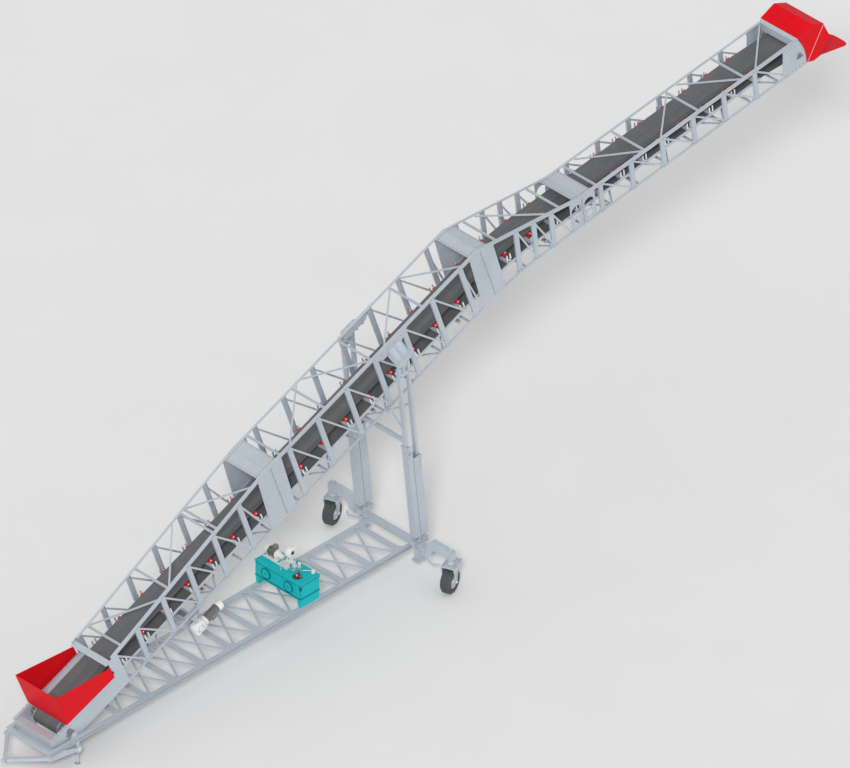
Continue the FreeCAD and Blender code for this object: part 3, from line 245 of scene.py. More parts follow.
STEEL_GREY = (0.485, 0.545, 0.610)
FINISHES = {
    "galvanised_steel": paint("boom_paint", STEEL_GREY, 0.46, dirt=0.16, chips=0.12),
    "red_paint": paint("signal_red_paint", (0.76, 0.004, 0.012), 0.46, dirt=0.0, chips=0.05, shine=0.08),
    "belt_rubber": belting("belt_cover"),
    "roller_steel": turned_steel("turned_roller_steel", (0.62, 0.63, 0.65)),
    "roller_red": paint("roller_red_paint", (0.70, 0.005, 0.012), 0.40, dirt=0.04, shine=0.25),
    "teal_paint": paint("turquoise_paint", (0.006, 0.51, 0.54), 0.44, dirt=0.0, chips=0.05, shine=0.12),
    "dark_teal": paint("dark_turquoise_gasket", (0.004, 0.13, 0.15), 0.50, dirt=0.0, shine=0.2),
    "grey_machine_paint": paint("machine_paint", (0.76, 0.77, 0.76), 0.38, dirt=0.14),
    "tyre_rubber": tyre_rubber("tyre_tread_rubber"),
    "rim_paint": paint("rim_enamel", (0.66, 0.68, 0.70), 0.34, dirt=0.22),
    "zinc": turned_steel("zinc_plated_steel", (0.60, 0.61, 0.62), 0.36),
    # dark paint of the motors and bearings, also the painted shade of the strips along the joint gaps and leg
    # seams
    "motor_dark": paint("dark_motor_paint_and_painted_seam_shade", (0.20, 0.19, 0.19), 0.44, dirt=0.22),
    "white_paint": paint("white_enamel", (0.84, 0.84, 0.82), 0.32, dirt=0.10),
    "black_plastic": paint("black_plastic", (0.035, 0.036, 0.040), 0.48, dirt=0.20),
    # pink: the filler knobs' own colour, and a painted highlight on the hood's front edges
    "pink_edge": paint("pink_knob_paint_and_painted_edge_highlight", (0.86, 0.30, 0.30), 0.40, dirt=0.10),
}


def finish_solids():
    """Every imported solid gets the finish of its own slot."""
    slots = {part["node"]: part["material_slot"] for part in frame["record"]["subparts"]}
    for name, obj in frame["nodes"].items():
        material = FINISHES[slots[name]]
        if not obj.data.materials:
            obj.data.materials.append(material)
        for i in range(len(obj.data.materials)):
            obj.data.materials[i] = material


def floor():
    made = Finish("floor_screed", Specular_IOR_Level=0.2)
    base = made.mix(made.noise(0.35, 4.0), (0.80, 0.80, 0.80), (0.84, 0.84, 0.84))
    material = made.use(base, made.noise(2.0, 3.0) * 0.1 + 0.7)
    mesh = bpy.data.meshes.new("floor")
    corners = [(x * FLOOR_HALF, y * FLOOR_HALF, 0) for x, y in ((-1, -1), (1, -1), (1, 1), (-1, 1))]
    mesh.from_pydata(corners, [], [(0, 1, 2, 3)])
    mesh.materials.append(material)
    obj = linked("floor", mesh)


# ---------------------------------------------------------------- shapes
class Shape:
    """Small parts gathered in one mesh."""

    def __init__(self):
        self.bm = bmesh.new()

    def add(self, verts, faces):
        made = [self.bm.verts.new(v) for v in verts]
        return made, [self.bm.faces.new([made[i] for i in face]) for face in faces]

    def prism(self, corners, thickness, chamfer=0.0):
        """A flat outline of space points, given a thickness along a vector, its edges chamfered."""
        n = len(corners)
        spokes = [corner - corners[0] for corner in corners[1:]]
        normal = sum((a.cross(b) for a, b in zip(spokes, spokes[1:])), Vector())
        outline = corners if normal.dot(thickness) < 0 else corners[::-1]
        verts = list(outline) + [c + thickness for c in outline]
        faces = [tuple(range(n)), tuple(range(2 * n - 1, n - 1, -1))]
        faces += [(i, i + n, (i + 1) % n + n, (i + 1) % n) for i in range(n)]
        made, _ = self.add(verts, faces)
        if chamfer:
            edges = list({edge for vert in made for edge in vert.link_edges})
            bmesh.ops.bevel(self.bm, geom=edges, offset=chamfer, segments=1, affect="EDGES",
                            clamp_overlap=True)

    def block(self, centre, size, along=X, up=Z, chamfer=0.004):
        """A box with its length along one direction and its height up another."""
        along = along.normalized()
        side = up.cross(along).normalized()
        top = along.cross(side)
        a, b, c = along * size[0] / 2, side * size[1] / 2, top * size[2]
        base = centre - top * size[2] / 2
        self.prism([base - a - b, base + a - b, base + a + b, base - a + b], c, chamfer)

    def hoop(self, centre, side, other, radius, steps):
        """Points round a circle in the plane of two directions."""
        turns = [2 * math.pi * i / steps for i in range(steps)]
        spokes = [(side * math.cos(t) + other * math.sin(t)) * radius for t in turns]
        return [self.bm.verts.new(centre + spoke) for spoke in spokes]

    def skin(self, pairs):
        """Faces from one hoop of each pair to the other; a hoop of one point is a pole."""
        for low, high in pairs:
            steps = max(len(low), len(high))
            for i in range(steps):
                j = (i + 1) % steps
                if len(low) == 1:
                    self.bm.faces.new([low[0], high[j], high[i]])
                elif len(high) == 1:
                    self.bm.faces.new([low[i], low[j], high[0]])
                else:
                    self.bm.faces.new([low[i], low[j], high[j], high[i]])

    def turned(self, profile, start, axis, steps=24, closed=False):
        """A profile of (distance along the axis, radius) turned about the axis from start."""
        axis = axis.normalized()
        side = axis.orthogonal().normalized()
        other = axis.cross(side)
        hoops = []
        for along, radius in profile:
            centre = start + axis * along
            if radius < 1e-6:
                hoops.append([self.bm.verts.new(centre)])
            else:
                hoops.append(self.hoop(centre, side, other, radius, steps))
        self.skin(zip(hoops, hoops[1:] + hoops[:1]) if closed else zip(hoops, hoops[1:]))
        if not closed:
            for end in (hoops[0][::-1], hoops[-1]):
                if len(end) > 1:
                    self.bm.faces.new(end)

    def pipe(self, points, radius, steps=10):
        """A bent round pipe through the points, its corners eased."""
        path = []
        for i, point in enumerate(points):
            if 0 < i < len(points) - 1:
                reach = min((points[i - 1] - point).length, (points[i + 1] - point).length, 8 * radius) / 2
                a = point + (points[i - 1] - point).normalized() * reach
                b = point + (points[i + 1] - point).normalized() * reach
                path += [a.lerp(point, t).lerp(point.lerp(b, t), t) for t in (0.0, 0.25, 0.5, 0.75, 1.0)]
            else:
                path.append(point)
        side = (path[1] - path[0]).orthogonal().normalized()
        hoops = []
        for i, point in enumerate(path):
            ahead = (path[min(i + 1, len(path) - 1)] - path[max(i - 1, 0)]).normalized()
            side = (side - ahead * side.dot(ahead)).normalized()
            hoops.append(self.hoop(point, side, ahead.cross(side), radius, steps))
        self.skin(zip(hoops, hoops[1:]))
        self.bm.faces.new(hoops[0][::-1])
        self.bm.faces.new(hoops[-1])

    def piece(self, name, finish, body, stands_for=()):
        mesh = bpy.data.meshes.new(name)
        self.bm.to_mesh(mesh)
        self.bm.free()
        return as_piece(mesh, name, finish, body, stands_for)


def as_piece(mesh, name, finish, body, stands_for=()):
    """Puts a finished mesh on a body, with a finish."""
    obj = linked(name, mesh)
    if not mesh.materials:
        mesh.materials.append(FINISHES[finish])
    mesh.polygons.foreach_set("use_smooth", [True] * len(mesh.polygons))
    mesh.set_sharp_from_angle(angle=math.radians(35))
    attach(obj, body)
    if stands_for:
        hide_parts(*stands_for)
    return obj


# ---------------------------------------------------------------- repeats
class Repeat:
    """A geometry node tree with named inputs, which ends in real meshes with a finish."""

    def __init__(self, name, inputs):
        self.tree = bpy.data.node_groups.new(name, "GeometryNodeTree")
        sockets = self.tree.interface
        sockets.new_socket("Geometry", in_out="INPUT", socket_type="NodeSocketGeometry")
        for label, kind in inputs.items():
            sockets.new_socket(label, in_out="INPUT", socket_type="NodeSocket" + kind)
        sockets.new_socket("Finish", in_out="INPUT", socket_type="NodeSocketMaterial")
        sockets.new_socket("Geometry", in_out="OUTPUT", socket_type="NodeSocketGeometry")
        self.given = self.tree.nodes.new("NodeGroupInput").outputs

    def node(self, kind, settings=None, sockets=None):
        return add_node(self.tree, kind, settings, sockets).outputs

    def level(self, socket):
        return Level(self.tree, socket)

    def vector(self, x, y, z):
        return self.node("ShaderNodeCombineXYZ", {}, {0: x, 1: y, 2: z})[0]

    def moved(self, geometry, offset):
        return self.node("GeometryNodeTransform", {}, {"Geometry": geometry, "Translation": offset})[0]

    def joined(self, *parts):
        node = self.tree.nodes.new("GeometryNodeJoinGeometry")
        for part in parts:
            self.tree.links.new(part, node.inputs[0])
        return node.outputs[0]

    def facing(self, along=None):
        """Up is the facing of the point, and the second axis lies as near to along as it can."""
        align, settings = "FunctionNodeAlignRotationToVector", {"data_type": "FLOAT_VECTOR"}
        vector = self.node("GeometryNodeInputNamedAttribute", settings, {"Name": "facing"})[0]
        turn = self.node(align, {"axis": "Z"}, {"Vector": vector})[0]
        if along is not None:
            turn = self.node(align, {"axis": "Y", "pivot_axis": "Z"}, {"Rotation": turn, "Vector": along})[0]
        return turn

    def end(self, points, instance, rotation):
        """Instances on the points, made real and given their finish."""
        sockets = {"Points": points, "Instance": instance, "Rotation": rotation}
        placed = self.node("GeometryNodeInstanceOnPoints", {}, sockets)[0]
        real = self.node("GeometryNodeRealizeInstances", {}, {0: placed})[0]
        sockets = {"Geometry": real, "Material": self.given["Finish"]}
        done = self.node("GeometryNodeSetMaterial", {}, sockets)[0]
        self.tree.links.new(done, self.tree.nodes.new("NodeGroupOutput").inputs[0])

    def grow(self, name, places, finish, body, **values):
        """Runs the tree on points with a facing, (place, facing) each, and keeps the plain mesh."""
        mesh = bpy.data.meshes.new(name)
        mesh.from_pydata([p for p, _ in places], [], [])
        facing = mesh.attributes.new("facing", "FLOAT_VECTOR", "POINT")
        facing.data.foreach_set("vector", [c for _, f in places for c in f])
        carrier = linked(name + "_points", mesh)
        modifier = carrier.modifiers.new("repeat", "NODES")
        modifier.node_group = self.tree
        values["Finish"] = FINISHES[finish]
        for label, value in values.items():
            modifier[self.tree.interface.items_tree[label.replace("_", " ")].identifier] = value
        graph = bpy.context.evaluated_depsgraph_get()
        made = bpy.data.meshes.new_from_object(carrier.evaluated_get(graph), depsgraph=graph)
        carrier.modifiers.remove(modifier)
        bpy.data.objects.remove(carrier)
        made.name = name
        return as_piece(made, name, finish, body)


def hex_bolts():
    """A washer and a six-sided head on every point, square to its facing."""
    made = Repeat("hex_bolts", {"Width": "Float", "Height": "Float"})
    width, height = made.level(made.given["Width"]), made.level(made.given["Height"])
    sockets = {"Vertices": 6, "Radius": width * 0.5, "Depth": height}
    cap = made.node("GeometryNodeMeshCylinder", {}, sockets)[0]
    cap = made.moved(cap, made.vector(0.0, 0.0, height * 0.75))
    sockets = {"Vertices": 12, "Radius": width * 0.68, "Depth": height * 0.3}
    washer = made.node("GeometryNodeMeshCylinder", {}, sockets)[0]
    washer = made.moved(washer, made.vector(0.0, 0.0, height * 0.15))
    made.end(made.given["Geometry"], made.joined(cap, washer), made.facing())
    return made


def blocks(name, *sides):
    """A block at every point, its three sides named: the second lies along Along, the third up the facing."""
    made = Repeat(name, {**{side: "Float" for side in sides}, "Along": "Vector"})
    size = made.vector(*[made.given[side] for side in sides])
    block = made.node("GeometryNodeMeshCube", {}, {"Size": size})[0]
    made.end(made.given["Geometry"], block, made.facing(made.given["Along"]))
    return made


HEX_BOLTS = hex_bolts()
BARS = blocks("lengthwise_bars", "Thickness", "Length", "Height")
TREAD = blocks("tread_blocks", "Length", "Width", "Depth")


def fasten(name, places, body, width, height, finish="zinc"):
    """Bolts of one size on a body, from (place, facing) pairs."""
    HEX_BOLTS.grow(name, places, finish, body, Width=width, Height=height)


def row(a, b, count, facing):
    """Evenly spaced places from a to b, all facing one way."""
    return [(a.lerp(b, i / (count - 1)), facing) for i in range(count)]


def ring(centre, axis, radius, count, facing=None, turn=0.0):
    """Places round a circle; they face along the axis, or outwards where no facing is given."""
    side = axis.orthogonal().normalized()
    other = axis.cross(side).normalized()
    out = []
    for i in range(count):
        t = turn + 2 * math.pi * i / count
        spoke = side * math.cos(t) + other * math.sin(t)
        out.append((centre + spoke * radius, facing or spoke))
    return out


# ---------------------------------------------------------------- power pack
TANK_COVERS, COVER_Z = (("left", 0.420), ("right", -0.375)), 1.270     # the round covers on the tank's front


def power_pack():
    low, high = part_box("hydraulic_tank")
    pump_low, pump_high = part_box("pump_set")
    tank_trim(low, high)
    pump(pump_low, pump_high, high.z)
    filters_and_valves(high.z)


def tank_trim(low, high):
    """Lid, bands, pan and skirts of the tank, with its gaskets, round covers and lid bolts."""
    face_x, top = low.x + 0.012, high.z
    side, tank_base, base = high.y, high.z - 0.422, 1.030
    middle_x = (face_x + high.x) / 2
    lid = Shape()
    lid.block(at(middle_x, 0, top + 0.004), (high.x - face_x + 0.05, 2 * side + 0.05, 0.014), chamfer=0.004)
    for z in (top - 0.030, base + 0.012):
        lid.block(at(face_x - 0.008, 0, z), (0.016, 2 * side + 0.02, 0.030), chamfer=0.005)
        lid.block(at(high.x + 0.008, 0, z), (0.016, 2 * side + 0.02, 0.030), chamfer=0.005)
        for s in (-1, 1):
            band = at(middle_x, s * (side + 0.006), z)
            lid.block(band, (high.x - face_x + 0.03, 0.014, 0.030), chamfer=0.004)
    pan = at(middle_x, 0, (base + tank_base) / 2)
    lid.block(pan, (high.x - face_x - 0.002, 2 * side - 0.002, tank_base - base + 0.01), chamfer=0.003)
    for s in (-1, 1):
        skirt = at(middle_x, s * (side - 0.006), (RAIL_TOP + base) / 2)
        lid.block(skirt, (high.x - face_x - 0.02, 0.008, base - RAIL_TOP), chamfer=0.002)
    lid.piece("tank_lid_and_bands", "teal_paint", "undercarriage")
    gasket = Shape()
    for z in (top - 0.054, base + 0.038):
        gasket.block(at(middle_x, 0, z), (high.x - face_x + 0.024, 2 * side + 0.022, 0.020), chamfer=0.002)
    gasket.block(at(face_x, -side, top - 0.125), (0.060, 0.060, 0.110), chamfer=0.010)
    for s in (-1, 1):
        gasket.block(at(face_x, s * side, (top + base) / 2), (0.008, 0.008, top - base - 0.06), chamfer=0.002)
    for _, y in TANK_COVERS:
        centre = at(low.x, y, COVER_Z)
        gasket.turned(mm(8, 157, 22, 155, 22, 133, 8, 131), centre, -X, 48, closed=True)
        gasket.turned(mm(16, 22, 28, 20, 30, 0), centre, -X, 16)
    gasket.piece("tank_gaskets", "dark_teal", "undercarriage")
    for name, y in TANK_COVERS:
        cover = Shape()
        dish = mm(0, 148, 12, 148, 16, 142, 16, 112, 10, 106, 10, 30, 20, 24, 22, 0)
        cover.turned(dish, at(low.x, y, COVER_Z), -X, 48)
        cover.piece("tank_cover_" + name, "teal_paint", "undercarriage")
    bolts = []
    for x in (face_x + 0.02, high.x - 0.02):
        bolts += row(at(x, -side + 0.03, top + 0.011), at(x, side - 0.03, top + 0.011), 5, Z)
    fasten("tank_bolts", bolts, "undercarriage", 0.022, 0.012, "teal_paint")


def pump(pump_low, pump_high, top):
    """The pump's motor across the tank, its fan cowl and bell housing, and the saddle under it."""
    axis_x, axis_z = (pump_low.x + pump_high.x) / 2, pump_high.z - 0.118
    end = at(axis_x, pump_high.y, axis_z)
    motor = Shape()
    motor.turned(mm(125, 86, 128, 98, 375, 98, 380, 86), end, -Y, 32)
    motor.block(end - Y * 0.30 + Z * 0.150 + X * 0.03, (0.12, 0.13, 0.14), chamfer=0.010)
    for y in (0.17, 0.33):
        motor.block(at(axis_x, end.y - y, axis_z - 0.105), (0.20, 0.035, 0.07), chamfer=0.006)
    motor.piece("pump_motor", "motor_dark", "undercarriage", ["pump_set"])
    BARS.grow("pump_motor_fins", ring(end - Y * 0.25, -Y, 0.104, 36), "motor_dark", "undercarriage",
              Length=0.24, Thickness=0.005, Height=0.028, Along=Y)
    cowl = Shape()
    cowl.turned(mm(0, 60, 4, 104, 16, 117, 120, 118, 126, 112, 126, 20), end, -Y, 40)
    bell = mm(378, 100, 384, 124, 400, 124, 406, 102, 470, 88, 486, 86, 490, 70, 520, 66, 600, 60, 604, 40)
    cowl.turned(bell, end, -Y, 36)
    cowl.piece("pump_motor_cowl_and_bell", "white_paint", "undercarriage")
    # painted shade: black bars on the cowl's end stand for the dark openings of its slots, which are not cut
    BARS.grow("pump_cowl_painted_slot_shade", ring(end + Y * 0.0005, Y, 0.082, 18), "black_plastic", "undercarriage",
              Length=0.004, Thickness=0.008, Height=0.034, Along=Y)
    saddle = Shape()
    saddle.block(at(axis_x, end.y - 0.29, top + 0.022), (0.26, 0.42, 0.022), chamfer=0.005)
    saddle.block(at(axis_x + 0.02, end.y - 0.72, top + 0.05), (0.16, 0.14, 0.08), chamfer=0.008)
    saddle.block(at(axis_x - 0.16, end.y - 0.35, top + 0.020), (0.05, 0.62, 0.012), chamfer=0.003)
    saddle.piece("pump_saddle", "white_paint", "undercarriage")


def filters_and_valves(top):
    """What stands on the tank's lid beside the pump: filters, valves, a cover, knobs and short pipes."""
    filters = Shape()
    foot = at(-4.620, 0.07, top + 0.010)
    drum = foot + Z * 0.30
    filters.turned(mm(0, 85, 20, 85, 22, 55, 180, 55, 182, 0), foot, Z, 32)
    can = mm(0, 125, 12, 152, 34, 166, 130, 166, 150, 154, 160, 126, 160, 78, 120, 70, 118, 0)
    filters.turned(can, drum + Y * 0.10, -Y, 40)
    breather = mm(0, 45, 10, 45, 12, 30, 95, 30, 100, 42, 130, 44, 135, 18, 150, 0)
    filters.turned(breather, at(-4.640, -0.230, top + 0.010), Z, 24)
    filler = mm(0, 52, 8, 52, 10, 36, 45, 36, 48, 50, 75, 50, 82, 40, 84, 0)
    filters.turned(filler, at(-4.560, -0.640, top + 0.010), Z, 24)
    filters.piece("tank_filters_and_caps", "white_paint", "undercarriage")
    valves = Shape()
    valves.block(at(-4.900, 0.03, top + 0.055), (0.13, 0.26, 0.09), chamfer=0.008)
    for y in (-0.06, 0.03, 0.12):
        valves.block(at(-4.900, y, top + 0.125), (0.13, 0.050, 0.050), chamfer=0.006)
        for s in (-1, 1):
            valves.turned(mm(0, 22, 30, 22, 38, 16, 45, 0), at(-4.900 + s * 0.060, y, top + 0.125), X * s, 20)
    valves.block(at(-4.74, -0.16, top + 0.06), (0.10, 0.10, 0.10), chamfer=0.008)
    valves.turned(mm(0, 34, 100, 34, 108, 24, 110, 0), at(-4.74, -0.16, top + 0.11), Z, 24)
    valves.piece("valve_stack", "rim_paint", "undercarriage")
    plate = Shape()
    plate.turned(mm(0, 128, 12, 128, 16, 122, 16, 50, 50, 48, 55, 0), at(-4.960, -0.480, top + 0.010), Z, 40)
    plate.turned(mm(0, 30, 50, 30, 56, 22, 60, 0), at(-4.90, -0.46, top + 0.05), Z, 20)
    plate.turned(mm(0, 46, 40, 44, 46, 30, 50, 0), drum - Y * 0.018, -Y, 24)
    plate.piece("tank_inspection_cover", "black_plastic", "undercarriage")
    red = Shape()
    red.turned(mm(0, 28, 30, 30, 38, 24, 40, 0), at(-4.990, -0.50, top + 0.058), Z, 24)
    red.turned(mm(0, 18, 28, 18, 34, 12, 36, 0), at(-4.92, -0.555, top + 0.024), Z, 20)
    red.piece("filler_knobs", "pink_edge", "undercarriage")
    pipes = Shape()
    runs = [[(-4.78, 0.30, top + 0.10), (-4.78, 0.20, top + 0.10), (-4.84, 0.17, top + 0.09)],
            [(-4.62, 0.04, top + 0.055), (-4.62, 0.22, top + 0.055), (-4.74, 0.28, top + 0.09)],
            [(-4.80, 0.0, top + 0.04), (-4.70, 0.0, top + 0.04)],
            [(-4.97, 0.02, top + 0.06), (-5.02, 0.02, top + 0.06), (-5.06, 0.02, top + 0.012)],
            [(-4.90, -0.10, top + 0.05), (-4.90, -0.24, top + 0.05), (-4.82, -0.30, top + 0.05),
             (-4.70, -0.30, top + 0.05), (-4.64, -0.26, top + 0.05)],
            [(-4.74, -0.21, top + 0.05), (-4.74, -0.42, top + 0.05), (-4.62, -0.52, top + 0.05),
             (-4.57, -0.60, top + 0.04)]]
    for points in runs:
        pipes.pipe([Vector(p) for p in points], 0.011)
    gauge = at(-4.70, 0.10, top + 0.20)
    pipes.pipe([at(-4.70, 0.10, top + 0.012), gauge], 0.007)
    pipes.turned(mm(-14, 30, -10, 34, 12, 34, 16, 30), gauge, -X, 28)
    pipes.piece("pump_pipes_and_gauge", "zinc", "undercarriage")


# ---------------------------------------------------------------- drive unit under the boom
LOW_PITCH = math.radians(22.2)
ALONG_LOW = at(math.cos(LOW_PITCH), 0, math.sin(LOW_PITCH))
UP_LOW = at(-math.sin(LOW_PITCH), 0, math.cos(LOW_PITCH))
HIGH_PITCH = math.radians(7.5)
ALONG_HIGH = at(math.cos(HIGH_PITCH), 0, math.sin(HIGH_PITCH))
UP_HIGH = at(-math.sin(HIGH_PITCH), 0, math.cos(HIGH_PITCH))


def middle(node):
    low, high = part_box(node)
    return (low + high) / 2


def drive_unit():
    low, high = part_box("drive_pulley")
    axle = at((low.x + high.x) / 2, 0, (low.z + high.z) / 2)
    box = axle - Y * 0.690
    along, up = ALONG_LOW, UP_LOW
    case = Shape()
    corners = [(-0.19, -0.11), (-0.13, -0.17), (0.10, -0.17), (0.19, -0.12), (0.19, 0.12), (0.10, 0.17),
               (-0.13, 0.17), (-0.19, 0.11)]
    case.prism([box + Y * 0.10 + along * a + up * b for a, b in corners], Y * -0.20, 0.014)
    for s in (-1, 1):
        flange = mm(0, 120, 14, 120, 20, 112, 20, 72, 40, 66, 44, 58, 44, 41)
        case.turned(flange, box + Y * s * 0.098, Y * s, 36)
        for b in (-0.120, 0.120):
            case.block(box + Y * s * 0.090 + up * b, (0.30, 0.030, 0.022), along, up, 0.005)
    neck = mm(0, 150, 18, 150, 22, 140, 60, 120, 64, 132, 80, 132, 82, 100)
    case.turned(neck, box + along * 0.186, along, 36)
    case.block(box - up * 0.20 + along * 0.02, (0.20, 0.09, 0.06), along, up, 0.010)
    case.piece("gearbox_case", "white_paint", "boom", ["drive_gearmotor"])
    bolts = ring(box - Y * 0.118, -Y, 0.094, 8, -Y) + ring(box + Y * 0.118, Y, 0.094, 8, Y)
    bolts += ring(box + along * 0.186, along, 0.141, 8, -along)
    fasten("gearbox_bolts", bolts, "boom", 0.022, 0.014)
    motor = Shape()
    motor.turned(mm(262, 88, 266, 102, 700, 102, 704, 88), box, along, 36)
    motor.block(box + along * 0.46 - Y * 0.125, (0.17, 0.09, 0.13), along, up, 0.012)
    motor.turned(mm(0, 16, 50, 16, 52, 12), box + along * 0.40 - Y * 0.12 - up * 0.06, -up, 16)
    motor.piece("drive_motor", "motor_dark", "boom")
    fins = [fin for fin in ring(box + along * 0.485, along, 0.108, 40) if fin[1].dot(-Y) < 0.86]
    BARS.grow("drive_motor_fins", fins, "motor_dark", "boom", Length=0.42, Thickness=0.005, Height=0.026,
              Along=along)
    cowl = Shape()
    fan_cover = mm(704, 100, 706, 128, 720, 130, 840, 128, 856, 118, 860, 64, 852, 58, 852, 0)
    cowl.turned(fan_cover, box, along, 40)
    cowl.piece("drive_motor_cowl", "white_paint", "boom")
    arm = Shape()
    arm.block(box + up * 0.26 + along * 0.02, (0.09, 0.05, 0.20), along, up, 0.006)
    arm.block(box + up * 0.36 + along * 0.02, (0.20, 0.10, 0.02), along, up, 0.004)
    arm.piece("gearbox_torque_arm", "galvanised_steel", "boom")
    for name, s in SIDES[::-1]:
        bearing(axle + Y * s * 0.505, along, up, Y * s, "drive_bearing_" + name, "boom")


def bearing(centre, along, up, outwards, name, body, size=1.0):
    """A pillow block: its foot, a round housing and a cap over the shaft."""
    made = Shape()
    foot = centre - up * 0.075 * size + outwards * 0.010
    made.block(foot, (0.26 * size, 0.055, 0.032 * size), along, up, 0.006)
    made.turned([(-0.018, 0.070 * size), (-0.014, 0.078 * size), (0.034, 0.078 * size), (0.040, 0.070 * size),
                 (0.040, 0.052 * size), (0.050, 0.048 * size), (0.052, 0.0)], centre, outwards, 32)
    made.piece(name, "motor_dark", body)


# ---------------------------------------------------------------- castors and wheels
CASTOR_TURN = math.radians(20)                # both castors stand turned, anticlockwise from above
AHEAD = at(math.cos(CASTOR_TURN), math.sin(CASTOR_TURN), 0)
AXLE = at(-AHEAD.y, AHEAD.x, 0)
TYRE_HALF, RIM_HALF, RIM_R = 0.135, 0.110, 0.185


def wheels():
    for name, s in SIDES:
        body = "wheel_" + name
        low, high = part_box("tyre_" + name)
        hub, radius, half = (low + high) / 2, (high.z - low.z) / 2, TYRE_HALF
        tyre = Shape()
        flank = [(RIM_HALF - 0.005, RIM_R), (RIM_HALF + 0.003, RIM_R + 0.012), (half, 0.245), (half, 0.275),
                 (half - 0.008, 0.302), (half - 0.022, 0.320), (half - 0.040, radius - 0.012)]
        tyre.turned([(-x, r) for x, r in flank] + flank[::-1], hub, AXLE, 72, closed=True)
        for side in (-1, 1):
            for r in (0.222, 0.292):
                band = [(half - 0.003, r - 0.007), (half + 0.003, r - 0.004), (half + 0.003, r + 0.004),
                        (half - 0.003, r + 0.007)]
                tyre.turned(band, hub, AXLE * side, 72, closed=True)
        tyre.piece("tyre_carcass_" + name, "tyre_rubber", body, ["tyre_" + name])
        TREAD.grow("tyre_tread_" + name, tread_places(hub, radius - 0.008), "tyre_rubber", body, Length=0.046,
                   Width=0.040, Depth=0.016, Along=AXLE)
        face = Shape()
        for side in (-1, 1):
            base = hub + AXLE * side * (RIM_HALF - 0.051)
            disc = mm(0, 168, 6, 168, 14, 150, 18, 110, 40, 92, 46, 60, 90, 56, 96, 46, 102, 40, 104, 18.5)
            face.turned(disc, base, AXLE * side, 48)
            lip = [(-0.005, RIM_R - 0.016), (-0.001, RIM_R - 0.002), (0.007, RIM_R + 0.004),
                   (0.009, RIM_R - 0.008), (0.001, RIM_R - 0.020)]
            face.turned(lip, hub + AXLE * side * RIM_HALF, AXLE * side, 60, closed=True)
        face.piece("wheel_disc_" + name, "rim_paint", body)
        nuts = []
        for side in (-1, 1):
            nuts += ring(hub + AXLE * side * (RIM_HALF - 0.035), AXLE * side, 0.128, 6, AXLE * side)
        fasten("wheel_nuts_" + name, nuts, body, 0.026, 0.020)
        castor_fittings(name, s, hub)


def tread_places(hub, radius):
    """Four rings of blocks over the crown of the tyre, each a quarter pitch on from the last."""
    places = []
    for i in range(4):
        places += ring(hub + AXLE * (i - 1.5) * 0.050, AXLE, radius, 40, turn=i * math.pi / 80)
    return places


def castor_fittings(name, s, hub):
    body = "castor_" + name
    _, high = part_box("castor_fork_" + name)
    king = at(AXLE_X, s * KING_Y, high.z)
    fittings = Shape()
    for side in (-1, 1):
        end = hub + AXLE * side * (TYRE_HALF + 0.062)
        fittings.turned(mm(-20, 34, -16, 38, 0, 38, 4, 34), end, AXLE * side, 24)
        fittings.turned(mm(0, 27, 18, 27, 22, 23), end, AXLE * side, 6)
        rib = at(king.x, king.y, 0.735) + AHEAD * 0.02 + AXLE * side * (TYRE_HALF + 0.050)
        fittings.block(rib, (0.40, 0.012, 0.050), AHEAD, chamfer=0.003)
    fittings.turned(mm(0, 46, 4, 50, 10, 50, 14, 44, 14, 18, 20, 16, 20, 0), king - Z * 0.012, Z, 6)
    fittings.turned(mm(-12, 82, -8, 88, 30, 88, 36, 80), at(king.x, king.y, 0.830), Z, 36)
    fittings.piece("castor_fittings_" + name, "rim_paint", body)
    crown = at(king.x, king.y, 0.810)
    spread = [(dx, dy) for dx in (-0.155, -0.050, 0.155, 0.255) for dy in (-0.140, 0.140)]
    bolts = [(crown + AHEAD * dx + AXLE * dy, Z) for dx, dy in spread]
    fasten("castor_bolts_" + name, bolts, body, 0.030, 0.018)


# ---------------------------------------------------------------- boom
TOP_LINE = [(-11.600, 2.469), (-6.160, 5.475), (1.260, 8.455), (4.930, 8.275), (12.750, 9.3045)]
LOW_AT, HIGH_AT = (-0.024, 5.935), (4.220, 7.240)
CHORD_OUT = 0.632                             # the outer face of the boom's chords
BEND_START, BEND_END = 1.750, 3.600


def top_z(x):
    for (x0, z0), (x1, z1) in zip(TOP_LINE, TOP_LINE[1:]):
        if x <= x1:
            return z0 + (z1 - z0) * (x - x0) / (x1 - x0)
    return TOP_LINE[-1][1]


def bottom_z(x):
    """Underside of the bottom chord: two slopes, eased into each other."""
    low = LOW_AT[1] + math.tan(LOW_PITCH) * (x - LOW_AT[0])
    high = HIGH_AT[1] + math.tan(HIGH_PITCH) * (x - HIGH_AT[0])
    share = min(1.0, max(0.0, (x - BEND_START) / (BEND_END - BEND_START)))
    return low + (high - low) * share if 0 < share < 1 else (low if share == 0 else high)


def pitch(x):
    """The slope of the bottom chord there."""
    share = min(1.0, max(0.0, (x - BEND_START) / (BEND_END - BEND_START)))
    return LOW_PITCH + (HIGH_PITCH - LOW_PITCH) * share


def along_at(x):
    return at(math.cos(pitch(x)), 0, math.sin(pitch(x)))


def up_at(x):
    return at(-math.sin(pitch(x)), 0, math.cos(pitch(x)))


# At each bolted joint: the top and the foot of its seam, then the tops and the feet of its plate's two edges.
PLATE_SEAMS = [(-6.030, -5.450), (1.340, 1.890), (4.940, 5.060)]
PLATE_EDGES = [(-6.480, -5.670, -5.970, -5.130), (0.960, 1.790, 1.470, 2.270), (4.500, 5.390, 4.620, 5.510)]
PLATE_Y = CHORD_OUT - 0.008


